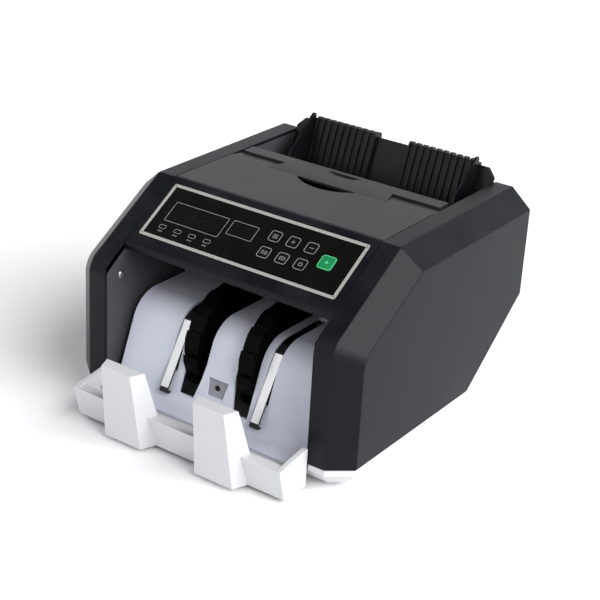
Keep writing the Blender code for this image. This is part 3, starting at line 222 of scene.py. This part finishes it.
# %% Edge rub and dust groups
rub_group, rub_in, rub_out = new_group(
    "edge_rub", (("Width", 0.0012), ("Patchiness", 60.0)), ("Rub",)
)
rounded_normal = rub_group.nodes.new("ShaderNodeBevel")
rounded_normal.samples = 4
wire(rub_group, rub_in.outputs["Width"], rounded_normal.inputs["Radius"])
true_normal = rub_group.nodes.new("ShaderNodeNewGeometry").outputs["Normal"]
agree = rub_group.nodes.new("ShaderNodeVectorMath")
agree.operation = "DOT_PRODUCT"
wire(rub_group, rounded_normal.outputs["Normal"], agree.inputs[0])
wire(rub_group, true_normal, agree.inputs[1])
edge = ramp(rub_group, agree.outputs["Value"], 0.97, 0.80)
place = rub_group.nodes.new("ShaderNodeTexCoord").outputs["Object"]
patches = ramp(rub_group, noise(rub_group, place, rub_in.outputs["Patchiness"], 3.0), 0.42, 0.66)
wire(rub_group, maths(rub_group, "MULTIPLY", edge, patches), rub_out.inputs["Rub"])

dust_group, dust_in, dust_out = new_group("settled_dust", (("Amount", 0.5),), ("Dust",))
upward = dust_group.nodes.new("ShaderNodeSeparateXYZ")
surface_normal = dust_group.nodes.new("ShaderNodeNewGeometry").outputs["Normal"]
wire(dust_group, surface_normal, upward.inputs[0])
flat = ramp(dust_group, upward.outputs["Z"], 0.55, 0.98)
place = dust_group.nodes.new("ShaderNodeTexCoord").outputs["Object"]
drift = ramp(dust_group, noise(dust_group, place, 35.0, 5.0), 0.40, 0.75)
settled = maths(dust_group, "MULTIPLY", flat, drift)
settled = maths(dust_group, "MULTIPLY", settled, dust_in.outputs["Amount"])
wire(dust_group, settled, dust_out.inputs["Dust"])
print("groups:", [g.name for g in bpy.data.node_groups])

# %% [markdown]
# One recipe serves every moulded part: a base colour that the cloud shifts slightly, the rub and
# dust laid over it, and the pebble as a bump. A maker would call these one resin in several
# colours. Each call states its own colour, gloss and pebble, so the parts still differ.

# %% Moulded plastic recipe


def blank_material(name, roughness, metallic=0.0):
    made = bpy.data.materials.new(name)
    made.use_nodes = True
    shader = made.node_tree.nodes["Principled BSDF"]
    shader.inputs["Roughness"].default_value = roughness
    shader.inputs["Metallic"].default_value = metallic
    return made, made.node_tree, shader


def grouped(tree, group, **values):
    node = tree.nodes.new("ShaderNodeGroup")
    node.node_tree = group
    for label, value in values.items():
        node.inputs[label.replace("_", " ")].default_value = value
    return node.outputs


def mixed(tree, factor, first, second):
    """A colour mix of two colours or sockets."""
    node = tree.nodes.new("ShaderNodeMix")
    node.data_type = "RGBA"
    wire(tree, factor, node.inputs["Factor"])
    for socket, value in ((node.inputs["A"], first), (node.inputs["B"], second)):
        if isinstance(value, tuple):
            socket.default_value = (*value, 1)
        else:
            wire(tree, value, socket)
    return node.outputs["Result"]


def bumped(tree, shader, height, strength, distance):
    node = tree.nodes.new("ShaderNodeBump")
    node.inputs["Strength"].default_value = strength
    node.inputs["Distance"].default_value = distance
    wire(tree, height, node.inputs["Height"])
    wire(tree, node.outputs["Normal"], shader.inputs["Normal"])


def shade(colour, factor):
    return tuple(min(1.0, c * factor) for c in colour)


def moulded(
    name, colour, roughness, pebble=1400.0, depth=0.00004, strength=0.35,
    rub=None, dust=0.25, cloud=0.07, gloss=0.5,
):
    """Injection-moulded plastic; colours are linear, and gloss is how much it mirrors face on."""
    made, tree, shader = blank_material(name, roughness)
    shader.inputs["Specular IOR Level"].default_value = gloss
    grain = grouped(tree, grain_group, Pebble_Scale=pebble)
    tone = mixed(tree, grain["Cloud"], shade(colour, 1 - cloud), shade(colour, 1 + cloud))
    tone = mixed(tree, maths(tree, "MULTIPLY", grain["Speck"], 0.12), tone, shade(colour, 1.6))
    worn = grouped(tree, rub_group)["Rub"]
    tone = mixed(tree, maths(tree, "MULTIPLY", worn, 0.35), tone, rub or shade(colour, 1.9))
    dusty = grouped(tree, dust_group, Amount=dust)["Dust"]
    tone = mixed(tree, maths(tree, "MULTIPLY", dusty, 0.10), tone, (0.45, 0.44, 0.42))
    wire(tree, tone, shader.inputs["Base Color"])
    dull = maths(tree, "MULTIPLY_ADD", grain["Cloud"], 0.10, roughness - 0.05)
    dull = maths(tree, "MULTIPLY_ADD", dusty, 0.18, dull)
    dull = maths(tree, "MULTIPLY_ADD", worn, -0.10, dull)
    wire(tree, dull, shader.inputs["Roughness"])
    bumped(tree, shader, grain["Height"], strength, depth)
    return made


shell_plastic = moulded(
    "shell_charcoal_plastic", (0.0040, 0.0044, 0.0070), 0.36, rub=(0.045, 0.045, 0.052), gloss=0.17
)
cover_plastic = moulded(
    "cover_graphite_plastic", (0.019, 0.0185, 0.021), 0.42, pebble=900.0, depth=0.00006, gloss=0.36
)
tub_plastic = moulded(
    "tub_white_plastic", (0.575, 0.582, 0.60), 0.40, rub=(0.84, 0.84, 0.85), cloud=0.015, dust=0.1
)
face_plastic = moulded(
    "stacker_grey_plastic", (0.62, 0.64, 0.73), 0.40, rub=(0.66, 0.68, 0.73), cloud=0.02
)
sensor_plastic = moulded("sensor_smoked_plastic", (0.30, 0.31, 0.34), 0.30, cloud=0.04)
hopper_plastic = moulded(
    "hopper_black_plastic", (0.0030, 0.0033, 0.0042), 0.34,
    pebble=1100.0, rub=(0.05, 0.05, 0.055), gloss=0.26,
)
small_black_plastic = moulded(
    "fitting_black_plastic", (0.010, 0.010, 0.011), 0.42, dust=0.1, gloss=0.35
)
floor_material = moulded(
    "floor_paper", (0.92, 0.92, 0.92), 0.85, strength=0.05, cloud=0.004, dust=0.0, gloss=0.1
)
floor.data.materials.append(floor_material)
print("plastics:", [m.name for m in bpy.data.materials if m.users])

# %% [markdown]
# The metal parts are brushed or turned. Brushing shows as fine lines along one direction, so the
# noise is stretched with a Mapping node: squeezed across the lines and drawn out along them.

# %% Metals


def brushed(name, colour, roughness, stretch, depth=0.00002, strength=0.25):
    """Metal with fine scratches; stretch is the noise scale along x, y and z."""
    made, tree, shader = blank_material(name, roughness, 1.0)
    mapping = tree.nodes.new("ShaderNodeMapping")
    mapping.inputs["Scale"].default_value = stretch
    wire(tree, tree.nodes.new("ShaderNodeTexCoord").outputs["Object"], mapping.inputs["Vector"])
    lines = noise(tree, mapping.outputs["Vector"], 1.0, 3.0)
    smear = noise(tree, tree.nodes.new("ShaderNodeTexCoord").outputs["Object"], 22.0, 3.0)
    tone = mixed(tree, lines, shade(colour, 0.88), shade(colour, 1.08))
    tone = mixed(tree, ramp(tree, smear, 0.45, 0.8, 0.0, 0.25), tone, shade(colour, 0.7))
    wire(tree, tone, shader.inputs["Base Color"])
    dull = maths(tree, "MULTIPLY_ADD", lines, 0.16, roughness - 0.06)
    wire(tree, maths(tree, "MULTIPLY_ADD", smear, 0.12, dull), shader.inputs["Roughness"])
    bumped(tree, shader, lines, strength, depth)
    return made


strip_steel = brushed("strip_bright_steel", (0.90, 0.90, 0.91), 0.34, (1800, 40, 40))
shaft_steel = brushed("shaft_turned_steel", (0.55, 0.55, 0.56), 0.28, (2200, 120, 120))
pulley_metal = brushed("pulley_aluminium", (0.66, 0.66, 0.67), 0.34, (1600, 200, 200))
motor_metal = brushed("motor_zinc_steel", (0.42, 0.42, 0.43), 0.40, (60, 900, 900))
supply_metal = brushed("supply_folded_tin", (0.58, 0.58, 0.57), 0.38, (40, 40, 1400))
border_silver = brushed(
    "border_silver_ink", (0.40, 0.39, 0.37), 0.50, (500, 500, 500), strength=0.05
)
border_silver.node_tree.nodes["Principled BSDF"].inputs["Metallic"].default_value = 0.25
screw_steel = brushed("screw_plated_steel", (0.50, 0.48, 0.42), 0.30, (900, 900, 900))
print("metals made")

# %% [markdown]
# The inner walls are steel plate with a dark powder coat, which has a soft orange-peel surface.
# Rubber is darker, duller, and a little patchy where it has been handled. The stacker's blades
# are rubber too, but smooth and streaked from being drawn, so they use the metals' line recipe
# without its metal. The circuit boards get a green solder mask with a faint trace pattern.

# %% Paint, rubber and boards
frame_paint = moulded(
    "frame_powder_coat", (0.040, 0.041, 0.047), 0.50, pebble=700.0, depth=0.00008
)
roller_rubber = moulded(
    "roller_rubber", (0.022, 0.022, 0.023), 0.70, pebble=2200.0, strength=0.5, cloud=0.2
)
foot_rubber = moulded("foot_rubber", (0.016, 0.016, 0.016), 0.78, pebble=1800.0, cloud=0.2)
belt_rubber = moulded("belt_rubber", (0.014, 0.014, 0.015), 0.60, pebble=1500.0)
blade_rubber = brushed(
    "blade_rubber", (0.0012, 0.0013, 0.0012), 0.40, (1500, 60, 60), strength=0.3
)
blade_shader = blade_rubber.node_tree.nodes["Principled BSDF"]
blade_shader.inputs["Metallic"].default_value = 0.0
blade_shader.inputs["Specular IOR Level"].default_value = 0.05


def board_material():
    made, tree, shader = blank_material("board_solder_mask", 0.32)
    coords = tree.nodes.new("ShaderNodeTexCoord").outputs["Object"]
    traces = tree.nodes.new("ShaderNodeTexBrick")
    traces.inputs["Scale"].default_value = 180.0
    traces.inputs["Mortar Size"].default_value = 0.03
    wire(tree, coords, traces.inputs["Vector"])
    tone = mixed(tree, traces.outputs["Fac"], (0.006, 0.075, 0.03), (0.015, 0.14, 0.05))
    wire(tree, tone, shader.inputs["Base Color"])
    bumped(tree, shader, traces.outputs["Fac"], 0.4, 0.00005)
    return made


board_mask = board_material()
print("paint, rubber and board made")

# %% [markdown]
# The keypad is a printed film, glossy and almost black. Film is smoother than moulded plastic and
# shows faint waves instead of grain. The two displays sit behind it as smoked windows, and the
# print itself is matt ink in three colours: silver-white lines, pale green and dim digit bars.

# %% Keypad film and inks


def film(name, colour, roughness, wave=0.00002, gloss=0.5):
    made, tree, shader = blank_material(name, roughness)
    shader.inputs["Specular IOR Level"].default_value = gloss
    place = tree.nodes.new("ShaderNodeTexCoord").outputs["Object"]
    smear = noise(tree, place, 70.0, 4.0)
    tone = mixed(tree, smear, shade(colour, 0.85), shade(colour, 1.15))
    wire(tree, tone, shader.inputs["Base Color"])
    dull = ramp(tree, smear, 0.3, 0.75, roughness - 0.03, roughness + 0.09)
    wire(tree, dull, shader.inputs["Roughness"])
    bumped(tree, shader, noise(tree, place, 160.0, 2.0), 0.2, wave)
    return made


keypad_film = film("keypad_film", (0.0030, 0.0028, 0.0024), 0.17, gloss=0.3)
display_window = film("display_window", (0.0045, 0.0041, 0.0034), 0.10, gloss=0.3)
key_film = film("key_film", (0.0036, 0.0035, 0.0032), 0.22, wave=0.00004, gloss=0.3)
start_green = film("start_key_green", (0.008, 0.20, 0.065), 0.30)
ink_white = film("ink_white", (0.20, 0.20, 0.185), 0.55)
ink_green = film("ink_pale_green", (0.10, 0.52, 0.24), 0.50)
ink_ghost = film("ink_ghost_digits", (0.0060, 0.0052, 0.0042), 0.20, gloss=0.3)
print("films and inks made")

# %% [markdown]
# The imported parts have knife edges, because their job is to be exact. A moulding never leaves its
# tool like that, and a rounded edge is what catches the light. So each visible moulding gets a
# copy with its loose triangles merged, its flat faces made whole and its edges bevelled. Beveling
# in the material would be cheaper, but it doesn't round the outline.

# %% Helpers for one piece at a time


def only(piece):
    bpy.ops.object.select_all(action="DESELECT")
    piece.select_set(True)
    bpy.context.view_layer.objects.active = piece


def applied(piece, kind, **settings):
    """Adds a modifier and applies it at once."""
    only(piece)
    modifier = piece.modifiers.new(kind.lower(), kind)
    for label, value in settings.items():
        setattr(modifier, label, value)
    bpy.ops.object.modifier_apply(modifier=modifier.name)


def smoothed(piece, angle=35):
    only(piece)
    bpy.ops.object.shade_smooth_by_angle(angle=math.radians(angle))
    applied(piece, "WEIGHTED_NORMAL", keep_sharp=True)


def merged_copy(node_name, ending="_moulding"):
    """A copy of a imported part, made of whole faces instead of loose triangles."""
    piece = bpy.data.objects.new(node_name + ending, nodes[node_name].data.copy())
    scene.collection.objects.link(piece)
    only(piece)
    bpy.ops.mesh.customdata_custom_splitnormals_clear()
    bpy.ops.object.mode_set(mode="EDIT")
    bpy.ops.mesh.select_all(action="SELECT")
    bpy.ops.mesh.remove_doubles(threshold=0.00001)
    bpy.ops.mesh.dissolve_limited(angle_limit=math.radians(0.8))
    bpy.ops.object.mode_set(mode="OBJECT")
    return piece


def rounded_edges(piece, width, sharp=25, segments=2, chosen=None):
    """Rounds the edges that turn more than an angle, or of those only the chosen ones."""
    mesh = bmesh.new()
    mesh.from_mesh(piece.data)
    layers = mesh.edges.layers.float
    weight = layers.get("bevel_weight_edge") or layers.new("bevel_weight_edge")
    for edge in mesh.edges:
        turns = len(edge.link_faces) == 2 and edge.calc_face_angle(0.0) > math.radians(sharp)
        edge[weight] = 1.0 if turns and (chosen is None or chosen(edge)) else 0.0
    mesh.to_mesh(piece.data)
    mesh.free()
    applied(piece, "BEVEL", limit_method="WEIGHT", width=width, segments=segments)


def stands_for(piece, node_name, finish):
    """Gives a finished copy its material, its body and the part that it replaces."""
    smoothed(piece)
    piece.data.materials.clear()
    piece.data.materials.append(finish)
    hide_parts(node_name)
    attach(piece, body_of_node[node_name])
    print(f"{piece.name}: {len(piece.data.polygons)} faces")


print("helpers ready")

# %% [markdown]
# The two side shells are the largest mouldings. Their knee, where the upright front turns into
# the slope, is rounded far more than the other edges, so it is bevelled first, on its own. The
# knee's edges are found by place: they lie on the line where those two faces meet.

# %% Side shells
KNEE_ROUND = 0.0085


def on_knee(edge, shell_low):
    ends = [corner.co for corner in edge.verts]
    front = all(end.y < shell_low.y + 0.0001 and end.z > 0.110 for end in ends)
    flank = all(abs(end.x) > 0.1079 and 0.105 < end.z < 0.114 and end.y < -0.0845 for end in ends)
    return front or flank


for side in ("left", "right"):
    shell = merged_copy(f"side_shell_{side}")
    shell_low = Vector(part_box(f"side_shell_{side}")[0])
    rounded_edges(shell, KNEE_ROUND, segments=6, chosen=lambda edge: on_knee(edge, shell_low))
    rounded_edges(shell, 0.0009, sharp=22, segments=2)
    stands_for(shell, f"side_shell_{side}", shell_plastic)

# %% [markdown]
# The other mouldings differ only in how soft their edges are: the white tub and tray are thick
# and well rounded, the thin cover is crisp, and the grey stacker face is drawn smoothly.

# %% Other mouldings
edge_widths = {
    "base_tub": (0.0012, tub_plastic), "front_tray": (0.0013, tub_plastic),
    "panel_housing": (0.0009, shell_plastic), "top_cover": (0.0004, cover_plastic),
    "hopper_bar": (0.0005, cover_plastic), "stacker_face": (0.0007, face_plastic),
    "stacker_sensor": (0.0003, sensor_plastic), "hopper_body": (0.0005, hopper_plastic),
    "bill_guide_left": (0.0003, hopper_plastic), "bill_guide_right": (0.0003, hopper_plastic),
    "feed_deck": (0.0005, shell_plastic), "rear_panel": (0.0006, shell_plastic),
    "feed_gap_knob": (0.0004, small_black_plastic), "power_inlet": (0.0004, small_black_plastic),
    "power_switch": (0.0004, small_black_plastic),
}
for side in ("left", "right"):
    for row in ("front", "rear"):
        edge_widths[f"foot_{row}_{side}"] = (0.0008, foot_rubber)
for name, (width, finish) in edge_widths.items():
    moulding = merged_copy(name)
    rounded_edges(moulding, width)
    stands_for(moulding, name, finish)

# %% [markdown]
# Each guide strip is its own copy coloured black, with a bright steel foil on its long flat face.
# The black is painted shade: it stands for the shadow along the strip's sides, under its bend and
# below its lower end, and those dark lines are what make the strip readable on the grey face. The
# foil is a slim bar with rounded edges, laid on the strip's own long face, which is found as its
# largest one. The blackened copy steps back by the foil's thickness, so that the foil's front is
# where the strip's front was.

# %% Guide strips
FOIL_THICK = 0.0002
FOIL_SIDE = 0.0003
FOIL_FOOT = 0.0022

for side in ("left", "right"):
    name = f"guide_strip_{side}"
    shade_painted_strip = merged_copy(name, "_carrier")
    face = max(shade_painted_strip.data.polygons, key=lambda one: one.area if one.normal.y < 0 else 0.0)
    corners = [shade_painted_strip.data.vertices[number].co.copy() for number in face.vertices]
    middle = sum(corners, Vector()) / len(corners)
    outward = face.normal.copy()
    across = Vector((1, 0, 0))
    upward = outward.cross(across)
    heights = [corner.dot(upward) for corner in corners]
    widths = [corner.x for corner in corners]
    shade_painted_strip.data.transform(Matrix.Translation(outward * -FOIL_THICK))
    rounded_edges(shade_painted_strip, 0.0002)
    # Black plastic on the steel strip is painted shade for its sides, bend and lower end.
    stands_for(shade_painted_strip, name, small_black_plastic)
    bpy.ops.object.select_all(action="DESELECT")
    bpy.ops.mesh.primitive_cube_add(size=1)
    foil = bpy.context.active_object
    foil.name = f"{name}_foil"
    foil_width = max(widths) - min(widths) - 2 * FOIL_SIDE
    foil_length = max(heights) - min(heights) - FOIL_FOOT
    size = Vector((foil_width, FOIL_THICK, foil_length))
    turn = Matrix((across, -outward, upward)).transposed().to_4x4()
    place = Matrix.Translation(middle - outward * FOIL_THICK / 2 + upward * FOIL_FOOT / 2)
    foil.data.transform(place @ turn @ Matrix.Diagonal(size.to_4d()))
    rounded_edges(foil, 0.00008)
    smoothed(foil)
    foil.data.materials.append(strip_steel)
    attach(foil, body_of_node[name])
print("strips made")

# %% [markdown]
# Everything printed on the keypad is placed in the panel's own directions: across, up the slope
# and out of the film. The slope's angle is read from the way a key is pressed, and a flat part's
# face, width and height follow from its box, so the print stays right if the panel is moved.

# %% Panel directions
press = next(joint for joint in frame["joints"] if joint["name"] == "key_plus_press")
tilt = math.atan2(press["axis"][1], -press["axis"][2])
panel_up = Vector((0, math.cos(tilt), math.sin(tilt)))
panel_out = Vector((0, -math.sin(tilt), math.cos(tilt)))
panel_turn = Matrix((Vector((1, 0, 0)), panel_up, panel_out)).transposed().to_4x4()


def flat_part(node_name):
    """Middle of the outer face, width and height of a part that lies flat on the slope."""
    low, high = (Vector(corner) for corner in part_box(node_name))
    size = high - low
    spread = math.cos(2 * tilt)
    height = (size.y * math.cos(tilt) - size.z * math.sin(tilt)) / spread
    depth = (size.z * math.cos(tilt) - size.y * math.sin(tilt)) / spread
    return (low + high) / 2 + panel_out * depth / 2, size.x, height


film_middle, film_width, film_height = flat_part("keypad_overlay")
print("slope", round(math.degrees(tilt), 2), "film", round(film_width, 4), round(film_height, 4))

# %% [markdown]
# One printed stroke is a thin sheet: a plane with rounded corners, given a little thickness. Where
# it is an outline its middle is inset and removed. Strokes are joined flat, then laid on the film
# a hair deep, so that no gap shows. Ink this thick could be painted by a mask instead, but thin
# geometry stays sharp at any distance.

# %% Printed strokes
INK = 0.00006


def stroke(width, height, corner=0.0, line=0.0, at=(0.0, 0.0), turn=0.0, points=4):
    """A rounded sheet, or its outline; with three points it is a triangle."""
    bpy.ops.object.select_all(action="DESELECT")
    if points == 4:
        bpy.ops.mesh.primitive_plane_add(size=1)
    else:
        bpy.ops.mesh.primitive_circle_add(vertices=points, radius=0.5, fill_type="NGON")
    sheet = bpy.context.active_object
    bpy.ops.object.mode_set(mode="EDIT")
    bpy.ops.mesh.select_all(action="SELECT")
    bpy.ops.transform.resize(value=(width, height, 1), center_override=(0, 0, 0))
    if corner:
        bpy.ops.mesh.bevel(offset=corner, segments=5, affect="VERTICES")
    if line:
        bpy.ops.mesh.select_all(action="SELECT")
        bpy.ops.mesh.inset(thickness=line)
        bpy.ops.mesh.delete(type="FACE")
    bpy.ops.object.mode_set(mode="OBJECT")
    applied(sheet, "SOLIDIFY", thickness=2 * INK, offset=1.0)
    sheet.data.transform(Matrix.Translation((*at, 0)) @ Matrix.Rotation(turn, 4, "Z"))
    return sheet


def printed(name, strokes, place, finish, body):
    """Joins flat strokes into one print and lays it on the slope."""
    bpy.ops.object.select_all(action="DESELECT")
    for sheet in strokes:
        sheet.select_set(True)
    bpy.context.view_layer.objects.active = strokes[0]
    if len(strokes) > 1:
        bpy.ops.object.join()
    mark = strokes[0]
    mark.name = name
    mark.data.name = name
    mark.data.transform(Matrix.Translation(place - panel_out * INK) @ panel_turn)
    mark.data.materials.clear()
    mark.data.materials.append(finish)
    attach(mark, body)
    return mark


border = printed(
    "keypad_border", [stroke(film_width - 0.0002, film_height - 0.0002, 0.0015, 0.0026)],
    film_middle, border_silver, body_of_node["keypad_overlay"],
)
print("border", [round(v, 4) for v in border.dimensions])

# %% [markdown]
# Each display has a thin outline and, behind its smoked window, the unlit bars of its digits. One
# digit is seven bars, and every digit's bars are made afresh, each with its own mesh.

# %% Displays


def digit_strokes(width, height, thick, x):
    bar, post = width - 1.3 * thick, height / 2 - 1.2 * thick
    strokes = [
        stroke(bar, thick, thick * 0.3, at=(x, level * height / 2)) for level in (-1, 0, 1)
    ]
    strokes += [
        stroke(thick, post, thick * 0.3, at=(x + across * width / 2, level * height / 4))
        for across in (-1, 1) for level in (-1, 1)
    ]
    return strokes


for name, digits, width, height in (("main", 4, 0.0066, 0.0105), ("batch", 3, 0.0045, 0.0072)):
    middle, window_width, window_height = flat_part(f"display_{name}")
    body = body_of_node[f"display_{name}"]
    printed(
        f"display_{name}_outline", [stroke(window_width, window_height, 0.0009, 0.0005)],
        middle, ink_white, body,
    )
    pitch = window_width / (digits + 0.35)
    bars = []
    for number in range(digits):
        bars += digit_strokes(width, height, 0.0011, (number - (digits - 1) / 2) * pitch)
    printed(f"display_{name}_digits", bars, middle, ink_ghost, body)
print("displays printed")

# %% [markdown]
# Six black keys carry a white outline and a plain sign, and the start key is green with a paler
# outline and a small triangle. The caps are softened copies like the other mouldings.

# %% Keys
KEY_LINE = 0.0006
KEY_RING_INSET = 0.00025
KEY_RING_CORNER = 0.0021

key_signs = {
    "key_plus": lambda: [stroke(0.0030, 0.0006), stroke(0.0006, 0.0030)],
    "key_minus": lambda: [stroke(0.0034, 0.0007)],
    "key_function": lambda: [
        stroke(0.0040, 0.0006, at=(0, shift)) for shift in (-0.0014, 0, 0.0014)
    ],
    "key_mode": lambda: [
        stroke(0.0019, 0.0030, 0.0002, 0.0005, at=(shift, 0)) for shift in (-0.0014, 0.0014)
    ],
    "key_batch": lambda: [stroke(0.0046, 0.0030, 0.0003, 0.0005), stroke(0.0022, 0.0006)],
    "key_restart": lambda: [
        stroke(0.0034, 0.0034, 0.0016, 0.0006), stroke(0.0012, 0.0012, points=3, at=(0.0016, 0))
    ],
    "key_start": lambda: [stroke(0.0036, 0.0036, points=3, turn=-math.pi / 2)],
}
for name, signs in key_signs.items():
    start = name == "key_start"
    middle, key_width, key_height = flat_part(name)
    cap = merged_copy(name, "_cap")
    rounded_edges(cap, 0.00025, sharp=40)
    stands_for(cap, name, start_green if start else key_film)
    ink = ink_green if start else ink_white
    inset = 2 * KEY_RING_INSET
    ring = stroke(key_width - inset, key_height - inset, KEY_RING_CORNER, KEY_LINE)
    printed(f"{name}_outline", [ring], middle, ink, body_of_node[name])
    printed(f"{name}_sign", signs(), middle, ink, body_of_node[name])
print("keys:", len(key_signs))

# %% [markdown]
# Four small oval lamps in a row say which mode is on. Each is an outline with a dim window inside
# and a few dashes below in place of a word.

# %% Mode lamps
LAMPS_X = (-0.0722, -0.0582, -0.0448, -0.0311)
LAMPS_UP = 0.0116
film_foot = film_middle - panel_up * film_height / 2
body = body_of_node["keypad_overlay"]
for number, x in enumerate(LAMPS_X):
    spot = film_foot + Vector((x, 0, 0)) + panel_up * LAMPS_UP
    oval = stroke(0.0062, 0.0036, 0.0014, 0.00045)
    words = [stroke(0.0009, 0.0010, at=(shift, -0.0041)) for shift in (-0.0014, 0, 0.0014)]
    printed(f"mode_lamp_{number}_outline", [oval, *words], spot, ink_white, body)
    window = stroke(0.0046, 0.0020, 0.0008)
    printed(f"mode_lamp_{number}_window", [window], spot, display_window, body)
print("mode lamps:", len(LAMPS_X))

# %% [markdown]
# The stacker's sensor looks out through the grey face. Its lens is a short black barrel with a
# domed front: a cylinder laid forwards, its front rim bevelled right over. The barrel's place is
# read from the sensor's own corners near the middle.

# %% Sensor lens
LENS_RADIUS = 0.0022
LENS_DEPTH = 0.0016

sensor_low, sensor_high = (Vector(corner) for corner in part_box("stacker_sensor"))
lens_height = (sensor_low.z + sensor_high.z) / 2
lens_front = min(
    corner.co.y for corner in nodes["stacker_sensor"].data.vertices
    if abs(corner.co.x) < 0.0028 and abs(corner.co.z - lens_height) < 0.0028
)
bpy.ops.object.select_all(action="DESELECT")
bpy.ops.mesh.primitive_cylinder_add(vertices=32, radius=LENS_RADIUS, depth=LENS_DEPTH)
lens = bpy.context.active_object
lens.name = "sensor_lens"
forwards = Matrix.Rotation(math.pi / 2, 4, "X")
lens.data.transform(Matrix.Translation((0, lens_front, lens_height)) @ forwards)
rounded_edges(lens, 0.0006, sharp=60, segments=4)
smoothed(lens, 60)
lens.data.materials.append(display_window)
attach(lens, body_of_node["stacker_sensor"])
print("lens front at", round(lens_front, 4))

# %% [markdown]
# Everything still in its packed form gets its finish here, by name; a name not in the table gets black plastic.

# %% Finishes for the carried-over nodes
finish_of = {
    "base_tub": tub_plastic, "front_tray": tub_plastic, "stacker_face": face_plastic,
    "stacker_sensor": sensor_plastic, "panel_housing": shell_plastic, "feed_deck": shell_plastic,
    "rear_panel": shell_plastic, "top_cover": cover_plastic, "hopper_bar": cover_plastic,
    "hopper_body": hopper_plastic, "feed_gap_knob": small_black_plastic,
    "power_inlet": small_black_plastic, "power_switch": small_black_plastic,
    "keypad_overlay": keypad_film, "display_main": display_window,
    "display_batch": display_window, "display_board": board_mask, "main_board": board_mask,
    "stacker_shaft": shaft_steel, "feed_shaft": shaft_steel, "pickup_shaft": shaft_steel,
    "motor_pulley": pulley_metal, "feed_pulley": pulley_metal, "pickup_pulley": pulley_metal,
    "stacker_pulley": pulley_metal, "main_motor": motor_metal, "power_supply": supply_metal,
    "feed_belt": belt_rubber, "stacker_belt": belt_rubber, "retard_roller": roller_rubber,
}
for side in ("left", "right"):
    finish_of[f"side_shell_{side}"] = shell_plastic
    finish_of[f"side_frame_{side}"] = frame_paint
    finish_of[f"bill_guide_{side}"] = hopper_plastic
    finish_of[f"guide_strip_{side}"] = strip_steel
    finish_of[f"stacker_wheel_{side}"] = blade_rubber
    finish_of[f"feed_roller_{side}"] = roller_rubber
    finish_of[f"pickup_roller_{side}"] = roller_rubber
    finish_of[f"stacker_bearing_{side}"] = shaft_steel
    finish_of[f"shell_screw_{side}"] = screw_steel
    for row in ("front", "rear"):
        finish_of[f"foot_{row}_{side}"] = foot_rubber
for name, node in nodes.items():
    node.data.materials.clear()
    node.data.materials.append(finish_of.get(name, small_black_plastic))
print("unfinished nodes:", [n for n in nodes if n not in finish_of])
